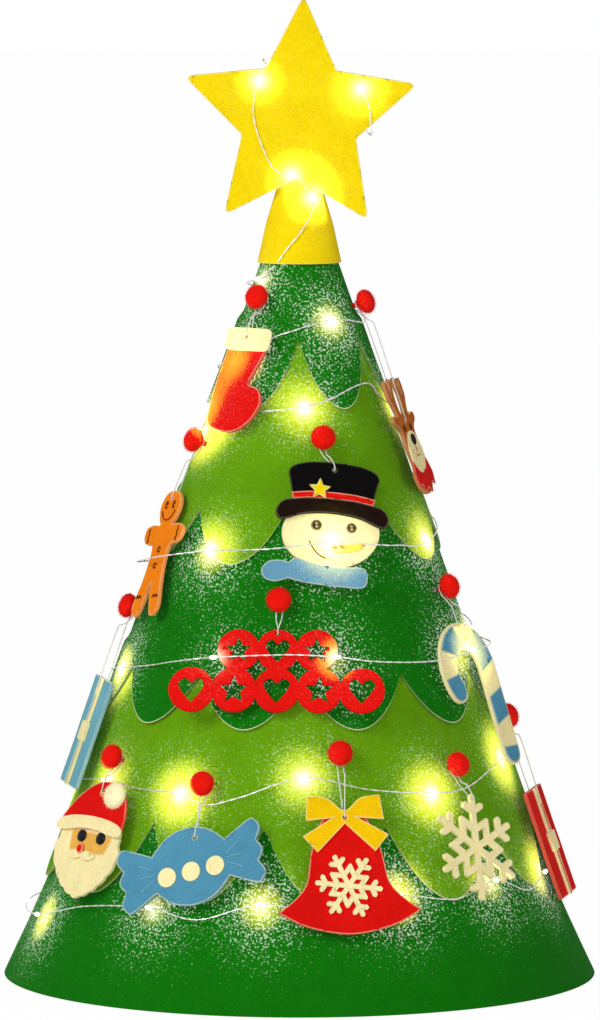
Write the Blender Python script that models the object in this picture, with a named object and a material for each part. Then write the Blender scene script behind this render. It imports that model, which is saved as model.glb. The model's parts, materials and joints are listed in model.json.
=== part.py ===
"""Felt Christmas tree for a table: a cone of green felt in scalloped tiers, with a star topper,
a string of lights, a battery box inside and twelve felt ornaments that hang from pompoms.
Metres, +Z up. The origin is the middle of the hem, on the table. The front looks along -Y."""

import math

import bmesh
import bpy
from mathutils import Matrix, Vector

# The cone: straight sides that would meet at APEX_HEIGHT, with a hem that flares a little
TREE_HEIGHT = 0.700
BASE_RADIUS = 0.2055
APEX_HEIGHT = 0.834 * TREE_HEIGHT
CONE_TOP_HEIGHT = 0.925 * APEX_HEIGHT
HEM_FLARE = 0.0075
HEM_FLARE_HEIGHT = 0.1285 * APEX_HEIGHT
FLARE_POWER = 1.2
BASE_FELT = 0.003
COLUMN_STEP_DEG = 6
STRAIGHT_LEVEL_SHARES = (1.0,)
FLARE_LEVEL_SHARES = (0.0, 0.2, 0.45, 0.75, 1.0)

# The back seam, where one end of the sheet laps under the other on hook and loop strips
SEAM_LAP_DEG = 6
SEAM_DIVE_DEG = 12
STRIP_FELT = 0.0009
STRIP_GAP = 0.0005
STRIP_WIDTH = 0.012
STRIP_COLUMNS = 2
STRIP_LOW_SHARE = 0.045
STRIP_HIGH_SHARE = 0.74

# The scalloped tiers, from the top: where each one's notches and lobe ends lie
TIER_FELT = 0.002
TIER_TUCK = 0.007
TIER_RAMP_START = 0.010
TIER_RAMP_END = 0.003
TIER_TOP_HEIGHT = 0.894 * APEX_HEIGHT
SCALLOP_POWER = 1.9
SLIT_HALF_DEG = 0.5
SLIT_MIDDLE_DEG = 174
LAY_GAP = 0.0003
# name, share of the apex height of the notches and of the lobe ends, lobes, columns, a lobe's middle
TIER_SHARES = (
    ("tier_1_dark", 0.790, 0.7040, 6, 8, 29),
    ("tier_2_lime", 0.584, 0.5190, 8, 8, 16.5),
    ("tier_3_dark", 0.3905, 0.3275, 11, 6, 16.7),
    ("tier_4_lime", 0.2160, 0.1240, 12, 6, 6.5),
)

# The topper: a cap of yellow felt sewn behind a star
CAP_FELT = 0.002
CAP_RIM_HEIGHT = 0.877 * APEX_HEIGHT
CAP_SLIT_DEG = 1
CAP_COLUMN_STEP_DEG = 11.25
CAP_CLEARANCE = 0.0026
# share of the tree's height from the rim up, half width and half depth of each level, outside
CAP_KNEE_SHARE, CAP_KNEE_HALF_WIDTH, CAP_KNEE_HALF_DEPTH = 0.040, 0.0240, 0.0208
CAP_NECK_SHARE, CAP_NECK_HALF_WIDTH, CAP_NECK_HALF_DEPTH = 0.080, 0.0155, 0.0052
CAP_TIP_SHARE, CAP_TIP_HALF_WIDTH, CAP_TIP_HALF_DEPTH = 0.1143, 0.0120, 0.0032
STAR_RADIUS = 0.1257 * TREE_HEIGHT
STAR_NOTCH_RADIUS = 0.489 * STAR_RADIUS
STAR_TIP_ROUND = 0.0035
STAR_FELT = 0.005
STAR_TILT_DEG = 2

# Pompoms: a squashed ball on a short neck that is pushed through the felt
POMPOM_RADIUS = 0.0090
POMPOM_HALF_DEPTH = 0.0065
POMPOM_LIFT = 0.0127
NECK_RADIUS = 0.0020
POMPOM_SEGMENTS = 12
POMPOM_ARC_STEPS = 6

# Ornaments: plates of felt that hang on a cord from their pompom
ORNAMENT_FELT = 0.0025
TRIM_FELT = 0.0015
PLATE_LIFT = 0.0094
CORD_RADIUS = 0.0005
CORD_RING_LIFT = 0.0057
CORD_RING_GAP = 0.0005
CORD_PASS_LIFT = 0.0081
CORD_RING_START_DEG, CORD_RING_TURN_DEG, CORD_RING_STEPS = -30, 240, 8
CORD_LEAVE_RINGS = 1.6
CORD_BACK_CLEAR, CORD_BACK_TURN = 0.8, 1.35
CORD_FRONT_CLEAR, CORD_FRONT_TURN = 1.1, 1.5
CORD_NARROW, CORD_FOLLOW, CORD_RISE = 0.8, 0.3, 0.4
HOLE_RADIUS = 0.0016
HOLE_SIDES = 8
OUTLINE_STEPS = 3
ROUNDING_SHARE = 0.48

# The string of lights
WIRE_RADIUS = 0.0005
BEAD_RADIUS = 0.0015
BEAD_HALF_LENGTH = 0.0022
BEAD_SHOULDER_SHARE = 0.55
BEAD_SHOULDER_RADIUS_SHARE = 0.86
WIRE_LIFT = 0.0065
WIRE_STEP_DEG = 9
WIRE_STEP = 0.012
BEAD_SPACING = 0.100
LEAD_HOLE_RADIUS = 0.002
LEAD_HOLE_DEG = -112
LEAD_HOLE_SHARE = 0.070
LEAD_INSIDE_CLEARANCE = 0.0033
LEAD_DIP_DEG, LEAD_DIP_SHARE = 0.8, 0.6
LEAD_TURN_DEG, LEAD_RUN_DEG, LEAD_RUN_RISE = 1.2, 8, 1.2
LEAD_ENTRY = 0.0060

# The battery box, inside the cone at the back left, for two AA cells
BOX_DEG = -140
BOX_HEIGHT = 0.117 * TREE_HEIGHT
BOX_LENGTH = 0.0700
BOX_WALL = 0.0015
CELL_RADIUS = 0.00715
CELL_LENGTH = 0.0492
CELL_NUB_RADIUS = 0.00275
CELL_NUB_LENGTH = 0.0010
CELL_GAP = 0.0005
CONTACT_ROOM = 0.0015
LID_THICKNESS = 0.0015
LID_LIP = 0.0012
LID_RUNNER = 0.0012
RUN_GAP = 0.0003
LID_GRIP_DEPTH = 0.0006
LID_GRIP_WIDTH = 0.0012
LID_GRIP_COUNT = 4
SWITCH_WIDTH = 0.0050
SWITCH_LENGTH = 0.0040
SWITCH_TRAVEL = 0.0035
SWITCH_DEPTH = 0.0030
SWITCH_KNOB_HEIGHT = 0.0012
CUT_OVERRUN = 0.002

for old in list(bpy.data.objects):
    bpy.data.objects.remove(old, do_unlink=True)


def material(name, colour, roughness=0.95, metallic=0.0):
    """A plain finish of one colour."""
    made = bpy.data.materials.new(name)
    made.use_nodes = True
    shader = made.node_tree.nodes["Principled BSDF"]
    shader.inputs["Base Color"].default_value = (*colour, 1.0)
    shader.inputs["Roughness"].default_value = roughness
    shader.inputs["Metallic"].default_value = metallic
    return made


DARK_GREEN = material("dark_green_felt", (0.004, 0.156, 0.005))
LIME = material("lime_felt", (0.125, 0.340, 0.006))
YELLOW = material("yellow_felt", (0.890, 0.680, 0.005))
RED = material("red_felt", (0.740, 0.008, 0.008))
CREAM = material("cream_felt", (0.880, 0.770, 0.490))
BLUE = material("blue_felt", (0.080, 0.260, 0.420))
BLACK = material("black_felt", (0.008, 0.006, 0.006))
BROWN = material("brown_felt", (0.480, 0.115, 0.015))
GINGER = material("gingerbread_felt", (0.950, 0.235, 0.020))
CORD = material("white_cord", (0.800, 0.800, 0.780), 0.7)
WIRE = material("silver_wire", (0.850, 0.850, 0.830), 0.3, 0.6)
STRIP = material("hook_and_loop", (0.010, 0.120, 0.012), 0.8)
BOX = material("black_plastic", (0.020, 0.020, 0.020), 0.4)
CELL = material("cell_jacket", (0.300, 0.300, 0.320), 0.35, 0.4)

SLOPE = BASE_RADIUS / APEX_HEIGHT
LEAN = math.atan(SLOPE)


def cone_radius(height):
    """Radius of the base sheet's outer side at a height."""
    low = max(0.0, 1 - height / HEM_FLARE_HEIGHT)
    return BASE_RADIUS - SLOPE * height + HEM_FLARE * low**FLARE_POWER


def on_cone(angle, height, lift=0.0):
    """Point over the cone. The angle is 0 at the front and grows to the right."""
    turn = math.radians(angle)
    radius = cone_radius(height) + lift / math.cos(LEAN)
    return Vector((radius * math.sin(turn), -radius * math.cos(turn), height))


def cone_axes(angle):
    """Right, up the slope and outward, at an angle round the cone."""
    turn = math.radians(angle)
    right = Vector((math.cos(turn), math.sin(turn), 0))
    out = Vector((math.sin(turn) * math.cos(LEAN), -math.cos(turn) * math.cos(LEAN), math.sin(LEAN)))
    return right, out.cross(right), out


def frame_at(origin, right, up, out):
    """Matrix of a frame with its X, Y and Z along right, up and out."""
    made = Matrix((right, up, out)).transposed().to_4x4()
    made.translation = origin
    return made


def finish(name, bm, look, frame=None, parent=None):
    """Turn a bmesh into a named object with its faces pointing out."""
    bmesh.ops.recalc_face_normals(bm, faces=bm.faces)
    mesh = bpy.data.meshes.new(name)
    bm.to_mesh(mesh)
    bm.free()
    made = bpy.data.objects.new(name, mesh)
    bpy.context.collection.objects.link(made)
    mesh.materials.append(look)
    if parent is not None:
        made.parent = parent
    elif frame is not None:
        made.matrix_world = frame
    return made


def round_off(made, angle=35):
    """Shade a round piece smooth, except over its sharp edges."""
    made.data.shade_smooth()
    made.data.set_sharp_from_angle(angle=math.radians(angle))
    return made


def cut(target, cutter):
    """Subtract a hidden cutter from a piece."""
    cutter.hide_render = True
    cutter.display_type = "WIRE"
    tool = target.modifiers.new("cut_" + cutter.name, "BOOLEAN")
    tool.operation = "DIFFERENCE"
    tool.solver = "EXACT"
    tool.object = cutter


def felt_sheet(name, angles, levels, place, look):
    """A sheet with a thickness: place(angle, level, side) puts each point, side 0 inside and 1 outside."""
    bm = bmesh.new()
    across, up = len(angles) - 1, len(levels) - 1
    bmesh.ops.create_grid(bm, x_segments=across, y_segments=up, size=1)
    grown = bmesh.ops.extrude_face_region(bm, geom=bm.faces[:], use_keep_orig=True)
    outside = [item for item in grown["geom"] if isinstance(item, bmesh.types.BMVert)]
    bmesh.ops.translate(bm, verts=outside, vec=(0, 0, 1))
    for corner in bm.verts:
        column = round((corner.co.x + 1) / 2 * across)
        row = round((corner.co.y + 1) / 2 * up)
        corner.co = place(angles[column], levels[row], round(corner.co.z))
    return finish(name, bm, look)


# Base cone

def base_sheet_lift(angle):
    """Lift of the base sheet's outer side: 0, but lower where the end laps under the seam."""
    dive_start = 180 - SEAM_LAP_DEG - SEAM_DIVE_DEG
    share = min(1.0, max(0.0, (angle - dive_start) / SEAM_DIVE_DEG))
    return -share * (BASE_FELT + 3 * STRIP_GAP + 2 * STRIP_FELT)


def place_base(angle, height, side):
    lift = base_sheet_lift(angle) - (0.0 if side else BASE_FELT)
    return on_cone(angle, height, lift)


half_turn = 180 + SEAM_LAP_DEG
base_angles = [a for a in range(-half_turn, half_turn + 1, COLUMN_STEP_DEG)]
base_levels = [HEM_FLARE_HEIGHT * share for share in FLARE_LEVEL_SHARES]
base_levels += [
    HEM_FLARE_HEIGHT + (CONE_TOP_HEIGHT - HEM_FLARE_HEIGHT) * share for share in STRAIGHT_LEVEL_SHARES
]
base_cone = felt_sheet("base_cone", base_angles, base_levels, place_base, DARK_GREEN)

lead_hole = on_cone(LEAD_HOLE_DEG, LEAD_HOLE_SHARE * TREE_HEIGHT)
lead_axes = cone_axes(LEAD_HOLE_DEG)
hole_tool = bmesh.new()
bmesh.ops.create_cone(
    hole_tool, cap_ends=True, segments=HOLE_SIDES, radius1=LEAD_HOLE_RADIUS, radius2=LEAD_HOLE_RADIUS,
    depth=2 * (BASE_FELT + CUT_OVERRUN),
)
lead_cutter = finish("lead_hole_cutter", hole_tool, DARK_GREEN, frame_at(lead_hole, *lead_axes))
cut(base_cone, lead_cutter)


# Hook and loop strips of the back seam

def seam_strip(name, depth):
    """A strip of fastener down the seam, its outer side at a depth under the sheet's outer side."""

    def place_strip(share, height, side):
        lift = -depth - (0.0 if side else STRIP_FELT)
        radius = on_cone(180, height, lift).y
        turn = math.degrees(share * STRIP_WIDTH / 2 / radius)
        return on_cone(180 + turn, height, lift)

    shares = [i / STRIP_COLUMNS for i in range(-STRIP_COLUMNS, STRIP_COLUMNS + 1)]
    heights = [STRIP_LOW_SHARE * CONE_TOP_HEIGHT, HEM_FLARE_HEIGHT, STRIP_HIGH_SHARE * CONE_TOP_HEIGHT]
    return felt_sheet(name, shares, heights, place_strip, STRIP)


seam_strip("seam_hook_strip", BASE_FELT + STRIP_GAP)
seam_strip("seam_loop_strip", BASE_FELT + 2 * STRIP_GAP + STRIP_FELT)


# Tiers

def scallop(angle, notch, end, lobes, middle):
    """Height of a tier's lower edge: lobes that end round, between pointed notches."""
    lobe = 360 / lobes
    across = ((angle - middle + lobe / 2) % lobe) / lobe * 2 - 1
    return end + (notch - end) * abs(across) ** SCALLOP_POWER


def tier_angles(lobes, columns, middle):
    """Angles of a tier's columns: the same ones in each lobe, and the two ends at the slit."""
    low, high = SLIT_MIDDLE_DEG - 360 + SLIT_HALF_DEG, SLIT_MIDDLE_DEG - SLIT_HALF_DEG
    step = 360 / lobes / columns
    first = math.ceil((low - middle) / step)
    last = math.floor((high - middle) / step)
    inner = [middle + step * i for i in range(first, last + 1)]
    inner = [a for a in inner if a - low > step / 4 and high - a > step / 4]
    return [low, *inner, high]


lower_lift = 2 * LAY_GAP + TIER_FELT
for number, (name, notch_share, end_share, lobes, columns, middle) in enumerate(TIER_SHARES):
    notch, end = notch_share * APEX_HEIGHT, end_share * APEX_HEIGHT
    top = TIER_TOP_HEIGHT
    if number:
        top = TIER_SHARES[number - 1][1] * APEX_HEIGHT + TIER_TUCK
    levels = [("edge", 0.0), ("edge", 0.5), ("edge", 1.0), ("top", top)]
    ramp_start = ramp_end = None
    if number + 1 < len(TIER_SHARES):
        ramp_start = notch + TIER_TUCK + TIER_RAMP_START
        ramp_end = notch + TIER_TUCK + TIER_RAMP_END
        levels = [("edge", 0.0), ("edge", 1.0), ("low", ramp_end), ("high", ramp_start), ("top", top)]

    def place_tier(angle, level, side):
        kind, value = level
        edge = scallop(angle, notch, end, lobes, middle)
        height = value
        if kind == "edge":
            height = edge + (notch + LAY_GAP - edge) * value
        lift = LAY_GAP
        if ramp_end is not None and kind in ("edge", "low"):
            lift = lower_lift
        return on_cone(angle, height, lift + (TIER_FELT if side else 0.0))

    look = DARK_GREEN if number % 2 == 0 else LIME
    felt_sheet(name, tier_angles(lobes, columns, middle), levels, place_tier, look)


# Topper

topper = bpy.data.objects.new("topper_lift", None)
bpy.context.collection.objects.link(topper)
cap_rim_outside = cone_radius(CAP_RIM_HEIGHT) + (CAP_CLEARANCE + CAP_FELT) / math.cos(LEAN)
CAP_LEVELS = (
    (CAP_RIM_HEIGHT, cap_rim_outside, cap_rim_outside),
    (CAP_RIM_HEIGHT + CAP_KNEE_SHARE * TREE_HEIGHT, CAP_KNEE_HALF_WIDTH, CAP_KNEE_HALF_DEPTH),
    (CAP_RIM_HEIGHT + CAP_NECK_SHARE * TREE_HEIGHT, CAP_NECK_HALF_WIDTH, CAP_NECK_HALF_DEPTH),
    (CAP_RIM_HEIGHT + CAP_TIP_SHARE * TREE_HEIGHT, CAP_TIP_HALF_WIDTH, CAP_TIP_HALF_DEPTH),
)


def place_cap(angle, level, side):
    height, half_width, half_depth = level
    wall = 0.0 if side else CAP_FELT
    turn = math.radians(angle)
    return Vector(((half_width - wall) * math.sin(turn), -(half_depth - wall) * math.cos(turn), height))


cap_columns = round((360 - CAP_SLIT_DEG) / CAP_COLUMN_STEP_DEG)
cap_start = -180 + CAP_SLIT_DEG / 2
cap_angles = [cap_start + (360 - CAP_SLIT_DEG) * i / cap_columns for i in range(cap_columns + 1)]
cap = felt_sheet("topper_cap", cap_angles, CAP_LEVELS, place_cap, YELLOW)
cap.parent = topper
round_off(cap)


# Outlines

SQUARE_SHARES = ((-0.5, 0.5), (0.5, 0.5), (0.5, -0.5), (-0.5, -0.5))


def disc(centre, radius, sides, start=0.0):
    """Points of a round outline."""
    turns = [start + 2 * math.pi * i / sides for i in range(sides)]
    return [(centre[0] + radius * math.cos(t), centre[1] + radius * math.sin(t)) for t in turns]


def oval(centre, half_width, half_height, sides):
    """Points of an oval outline."""
    return [(centre[0] + half_width * x, centre[1] + half_height * y) for x, y in disc((0, 0), 1, sides)]


def rounded(points, radius, steps=2):
    """A polygon's outline with each corner rounded to about the radius."""
    outline = []
    count = len(points)
    for i, point in enumerate(points):
        here = Vector(point)
        before = (Vector(points[i - 1]) - here)
        after = (Vector(points[(i + 1) % count]) - here)
        half = before.angle(after) / 2
        most = min(before.length, after.length) * ROUNDING_SHARE
        reach = min(radius / math.tan(half), most)
        start = here + before.normalized() * reach
        end = here + after.normalized() * reach
        for step in range(steps + 1):
            t = step / steps
            outline.append(tuple(start * (1 - t) ** 2 + here * 2 * t * (1 - t) + end * t**2))
    return outline


def smooth(points, steps=OUTLINE_STEPS):
    """A closed curve through points. A point with a third value is a corner."""
    outline = []
    count = len(points)
    for i in range(count):
        a, b, c, d = (points[(i + k) % count] for k in (-1, 0, 1, 2))
        start, end = Vector(b[:2]), Vector(c[:2])
        leave = Vector((0, 0)) if len(b) > 2 else (end - Vector(a[:2])) / 2
        reach = Vector((0, 0)) if len(c) > 2 else (Vector(d[:2]) - start) / 2
        for step in range(steps):
            t = step / steps
            point = (
                start * (2 * t**3 - 3 * t**2 + 1) + leave * (t**3 - 2 * t**2 + t)
                + end * (3 * t**2 - 2 * t**3) + reach * (t**3 - t**2)
            )
            outline.append(tuple(point))
    return outline


def spread(shares, width, height, middle=(0, 0)):
    """Shares of a width and a height as points round a middle, keeping corner marks."""
    return [(middle[0] + s[0] * width, middle[1] + s[1] * height, *s[2:]) for s in shares]


def mirrored(half):
    """An outline from its right half, given from the top middle down to the bottom middle."""
    other = [(-p[0], *p[1:]) for p in reversed(half) if p[0] != 0]
    return list(half) + other


def turned(points, degrees, middle=(0, 0)):
    """An outline turned about a middle."""
    turn = math.radians(degrees)
    made = []
    for p in points:
        x, y = p[0] - middle[0], p[1] - middle[1]
        made.append((
            middle[0] + x * math.cos(turn) - y * math.sin(turn),
            middle[1] + x * math.sin(turn) + y * math.cos(turn), *p[2:],
        ))
    return made


def moved(points, across, up):
    """An outline moved by a step."""
    return [(p[0] + across, p[1] + up, *p[2:]) for p in points]


def stroke(line, width):
    """Outline of a band of one width along an open line, with round ends."""
    left, right = [], []
    line = [Vector(p) for p in line]
    for i, point in enumerate(line):
        along = (line[min(i + 1, len(line) - 1)] - line[max(i - 1, 0)]).normalized()
        side = Vector((-along.y, along.x)) * width / 2
        left.append(point + side)
        right.append(point - side)

    def end_cap(middle, edge, sign):
        reach = edge - middle
        turns = [sign * math.pi * k / 4 for k in (1, 2, 3)]
        return [
            middle + Vector((
                reach.x * math.cos(t) - reach.y * math.sin(t),
                reach.x * math.sin(t) + reach.y * math.cos(t),
            ))
            for t in turns
        ]

    return [
        tuple(p) for p in (
            *left, *end_cap(line[-1], left[-1], -1), *reversed(right), *end_cap(line[0], right[0], -1)
        )
    ]


def felt_shape(name, outline, look, lift, felt, holes=(), parent=None, frame=None):
    """A piece cut from felt: an outline with holes, its back at a lift over its frame's plane."""
    bm = bmesh.new()
    for loop in (outline, *holes):
        corners = [bm.verts.new((p[0], p[1], lift)) for p in loop]
        for i, corner in enumerate(corners):
            bm.edges.new((corners[i - 1], corner))
    bmesh.ops.triangle_fill(bm, use_beauty=True, use_dissolve=False, edges=bm.edges[:])
    grown = bmesh.ops.extrude_face_region(bm, geom=bm.faces[:], use_keep_orig=True)
    top = [item for item in grown["geom"] if isinstance(item, bmesh.types.BMVert)]
    bmesh.ops.translate(bm, verts=top, vec=(0, 0, felt))
    return finish(name, bm, look, frame, parent)


# Star

star_outline = []
for point_number in range(10):
    turn = math.radians(90 - STAR_TILT_DEG + 36 * point_number)
    reach = STAR_NOTCH_RADIUS if point_number % 2 else STAR_RADIUS
    star_outline.append((reach * math.cos(turn), reach * math.sin(turn)))
star_outline = rounded(star_outline, STAR_TIP_ROUND)
star_top = max(p[1] for p in star_outline)
star_back = CAP_NECK_HALF_DEPTH + LAY_GAP
star_frame = frame_at(
    Vector((0, -star_back, TREE_HEIGHT - star_top)), Vector((1, 0, 0)), Vector((0, 0, 1)), Vector((0, -1, 0))
)
star = felt_shape("topper_star", star_outline, YELLOW, 0.0, STAR_FELT, frame=star_frame)
star.parent = topper


# Pompoms and hanging cords

def swing_frame(pompom_angle, height, plate_angle):
    """Frame of an ornament: its plate's plane, with the axis through the pompom's neck."""
    neck = on_cone(pompom_angle, height) + cone_axes(pompom_angle)[2] * CORD_RING_LIFT
    right, up, out = cone_axes(plate_angle)
    return frame_at(neck - out * CORD_RING_LIFT, right, up, out)


def felt_top(height, angle):
    """Lift of the outermost felt at a place on the cone."""
    found = 0.0
    for number, (name, notch_share, end_share, lobes, columns, middle) in enumerate(TIER_SHARES):
        notch, end = notch_share * APEX_HEIGHT, end_share * APEX_HEIGHT
        top = TIER_SHARES[number - 1][1] * APEX_HEIGHT + TIER_TUCK if number else TIER_TOP_HEIGHT
        if not scallop(angle, notch, end, lobes, middle) <= height <= top:
            continue
        low = number + 1 < len(TIER_SHARES) and height < notch + TIER_TUCK + TIER_RAMP_START
        found = max(found, (lower_lift if low else LAY_GAP) + TIER_FELT)
    return found


def pompom(name, angle, height):
    """A squashed ball on its neck, turned about its own axis."""
    seat = felt_top(height, angle) + LAY_GAP
    bottom = -math.acos(NECK_RADIUS / POMPOM_RADIUS)
    profile = [(0.0, seat), (NECK_RADIUS, seat)]
    for step in range(POMPOM_ARC_STEPS):
        turn = bottom + (math.pi / 2 - bottom) * step / POMPOM_ARC_STEPS
        profile.append((
            POMPOM_RADIUS * math.cos(turn), POMPOM_LIFT + POMPOM_HALF_DEPTH * math.sin(turn)
        ))
    profile.append((0.0, POMPOM_LIFT + POMPOM_HALF_DEPTH))
    bm = bmesh.new()
    corners = [bm.verts.new((x, 0, z)) for x, z in profile]
    edges = [bm.edges.new(pair) for pair in zip(corners, corners[1:])]
    bmesh.ops.spin(
        bm, geom=[*corners, *edges], cent=(0, 0, 0), axis=(0, 0, 1), angle=2 * math.pi,
        steps=POMPOM_SEGMENTS, use_merge=True,
    )
    bmesh.ops.remove_doubles(bm, verts=bm.verts, dist=LAY_GAP / 10)
    return round_off(finish(name, bm, RED, frame_at(on_cone(angle, height), *cone_axes(angle))))


def tube(name, points, radius, look, radii=None, closed=False, parent=None):
    """A cord or wire along points, with filled ends unless it is closed."""
    data = bpy.data.curves.new(name, "CURVE")
    data.dimensions = "3D"
    data.bevel_depth = radius
    data.bevel_resolution = 0
    data.use_fill_caps = True
    line = data.splines.new("POLY")
    line.points.add(len(points) - 1)
    for i, point in enumerate(points):
        line.points[i].co = (*point, 1)
        line.points[i].radius = radii[i] if radii else 1.0
    line.use_cyclic_u = closed
    made = bpy.data.objects.new(name, data)
    bpy.context.collection.objects.link(made)
    data.materials.append(look)
    if parent is not None:
        made.parent = parent
    return made


def hanging_cord(name, hole, back, front, parent):
    """A closed loop of cord: round the pompom's neck, one leg before the plate and one behind it,
    joined through the plate's hole."""
    ring = NECK_RADIUS + CORD_RING_GAP + CORD_RADIUS
    off = CORD_RADIUS + CORD_RING_GAP / 2
    behind, before = back - off, front + off
    down = Vector(hole)
    points = []
    for step in range(CORD_RING_STEPS + 1):
        turn = math.radians(CORD_RING_START_DEG + CORD_RING_TURN_DEG * step / CORD_RING_STEPS)
        points.append((ring * math.cos(turn), ring * math.sin(turn), CORD_RING_LIFT))
    side, clear = points[0][0], POMPOM_RADIUS + 3 * CORD_RADIUS
    rise = CORD_RING_LIFT + (before - CORD_RING_LIFT) * CORD_RISE + CORD_RADIUS
    near, drawn = side * (1 - CORD_FOLLOW), down.x * CORD_FOLLOW
    points += [
        (-side, -ring * CORD_LEAVE_RINGS, CORD_RING_LIFT + CORD_RADIUS / 2),
        (-side * CORD_NARROW, -clear * CORD_BACK_CLEAR, CORD_PASS_LIFT),
        (-near + drawn, -clear * CORD_BACK_TURN, behind),
        (down.x, down.y + HOLE_RADIUS * 2, behind),
        (down.x, down.y, behind),
        (down.x, down.y, (back + front) / 2),
        (down.x, down.y, before),
        (down.x, down.y + HOLE_RADIUS * 2, before),
        (near + drawn, -clear * CORD_FRONT_TURN, before),
        (side * CORD_NARROW, -clear * CORD_FRONT_CLEAR, rise),
        (side, -ring * CORD_LEAVE_RINGS, CORD_RING_LIFT + CORD_RADIUS / 2),
    ]
    return tube(name, points, CORD_RADIUS, CORD, closed=True, parent=parent)


# Ornaments. Each one hangs in its own plane: X to the right, Y up the slope, Z off the cone,
# with zero where its pompom's neck stands.

def ornament(name, pompom_deg, height_share, plate_deg):
    """The pompom of an ornament, and the empty on its axis that carries its pieces."""
    height = height_share * TREE_HEIGHT
    pompom(name + "_pompom", pompom_deg, height)
    swing = bpy.data.objects.new(name + "_swing", None)
    bpy.context.collection.objects.link(swing)
    swing.matrix_world = swing_frame(pompom_deg, height, plate_deg)
    return swing


def hang(name, swing, hole, lift, felt, extra=0.0):
    """The cord of an ornament, through the hole in the felt at a lift."""
    hanging_cord(name + "_cord", hole, lift, lift + felt + extra, swing)


def hole_at(place, radius=HOLE_RADIUS):
    return disc(place, radius, HOLE_SIDES)


TRIM_LIFT = PLATE_LIFT + ORNAMENT_FELT + LAY_GAP
BOTH_FELTS = ORNAMENT_FELT + LAY_GAP + TRIM_FELT

# Stocking
STOCKING_WIDTH, STOCKING_HEIGHT, STOCKING_DROP = 0.045, 0.076, 0.0235
CUFF_WIDTH, CUFF_HEIGHT, CUFF_ROUND = 0.041, 0.0165, 0.0055
STOCKING_SHIFT, CUFF_SHIFT = 0.0013, 0.0022
STOCKING_HOLE_DEPTH = 0.0065
STOCKING_SHARES = (
    (-0.36, -0.02, 1), (0.38, -0.02, 1), (0.40, -0.17), (0.27, -0.40), (0.19, -0.53), (0.42, -0.58),
    (0.52, -0.72), (0.36, -0.90), (0.06, -1.00), (-0.28, -0.985), (-0.47, -0.92), (-0.50, -0.75),
    (-0.46, -0.45), (-0.38, -0.17),
)
swing = ornament("stocking", -41, 0.6930, -41)
stocking_hole = (0, -STOCKING_DROP - STOCKING_HOLE_DEPTH)
outline = smooth(spread(STOCKING_SHARES, STOCKING_WIDTH, STOCKING_HEIGHT, (STOCKING_SHIFT, -STOCKING_DROP)))
felt_shape("stocking_sock", outline, RED, PLATE_LIFT, ORNAMENT_FELT, [hole_at(stocking_hole)], swing)
cuff_middle = (CUFF_SHIFT, -STOCKING_DROP - CUFF_HEIGHT / 2)
cuff_corners = spread(SQUARE_SHARES, CUFF_WIDTH, CUFF_HEIGHT, cuff_middle)
felt_shape(
    "stocking_cuff", rounded(cuff_corners, CUFF_ROUND, 3), CREAM, TRIM_LIFT, TRIM_FELT,
    [hole_at(stocking_hole)], swing,
)
hang("stocking", swing, stocking_hole, PLATE_LIFT, BOTH_FELTS)

# Reindeer
REINDEER_WIDTH, REINDEER_HEIGHT, REINDEER_DROP = 0.062, 0.087, 0.0575
REINDEER_HOLE_SHARE = 0.37
REINDEER_SHARES = (
    (0, -0.30), (0.10, -0.29), (0.13, -0.16), (0.07, -0.05), (0.13, 0.0), (0.20, -0.09), (0.28, -0.15),
    (0.30, -0.04), (0.38, -0.02), (0.39, -0.15), (0.29, -0.25), (0.27, -0.32), (0.46, -0.31),
    (0.50, -0.37), (0.31, -0.45), (0.31, -0.58), (0.25, -0.76), (0.34, -0.83), (0.27, -0.95), (0, -1.0),
)
swing = ornament("reindeer", 78, 0.6860, 76)
outline = smooth(spread(mirrored(REINDEER_SHARES), REINDEER_WIDTH, REINDEER_HEIGHT, (0, -REINDEER_DROP)), 2)
reindeer_hole = (0, -REINDEER_DROP - REINDEER_HOLE_SHARE * REINDEER_HEIGHT)
felt_shape("reindeer_head", outline, BROWN, PLATE_LIFT, ORNAMENT_FELT, [hole_at(reindeer_hole)], swing)
hang("reindeer", swing, reindeer_hole, PLATE_LIFT, ORNAMENT_FELT)

# Snowman, with his hat and scarf laid over his face
SNOWMAN_TILT_DEG = -7
FACE_WIDTH, FACE_HEIGHT, FACE_DEPTH, SNOWMAN_SHIFT = 0.070, 0.052, 0.0695, 0.0007
HAT_WIDTH, HAT_HEIGHT, HAT_DROP, HAT_HOLE_DEPTH = 0.081, 0.045, 0.0185, 0.0055
HAT_SHARES = (
    (0, 0), (0.22, -0.025), (0.355, -0.10), (0.40, -0.20), (0.385, -0.36), (0.352, -0.645, 1), (0.42, -0.675),
    (0.475, -0.75), (0.50, -0.87), (0.465, -0.99), (0.385, -0.965), (0.24, -0.87), (0, -0.83),
)
SCARF_WIDTH, SCARF_HEIGHT, SCARF_DEPTH, SCARF_SHIFT = 0.056, 0.018, 0.0995, -0.0008
SCARF_SHARES = (
    (0.42, 0.36), (0.50, 0.22), (0.52, -0.10), (0.46, -0.45), (0.15, -0.50), (-0.25, -0.46), (-0.50, -0.34, 1),
    (-0.66, -0.52), (-0.80, -0.42), (-0.84, -0.08), (-0.76, 0.26), (-0.62, 0.36), (-0.50, 0.30, 1),
    (-0.40, 0.50), (-0.15, 0.36), (0.15, 0.30),
)
swing = ornament("snowman", 12, 0.5545, 12)
face_middle = (SNOWMAN_SHIFT, -FACE_DEPTH)
felt_shape(
    "snowman_face", oval(face_middle, FACE_WIDTH / 2, FACE_HEIGHT / 2, 24), CREAM, PLATE_LIFT,
    ORNAMENT_FELT, parent=swing,
)
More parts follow.
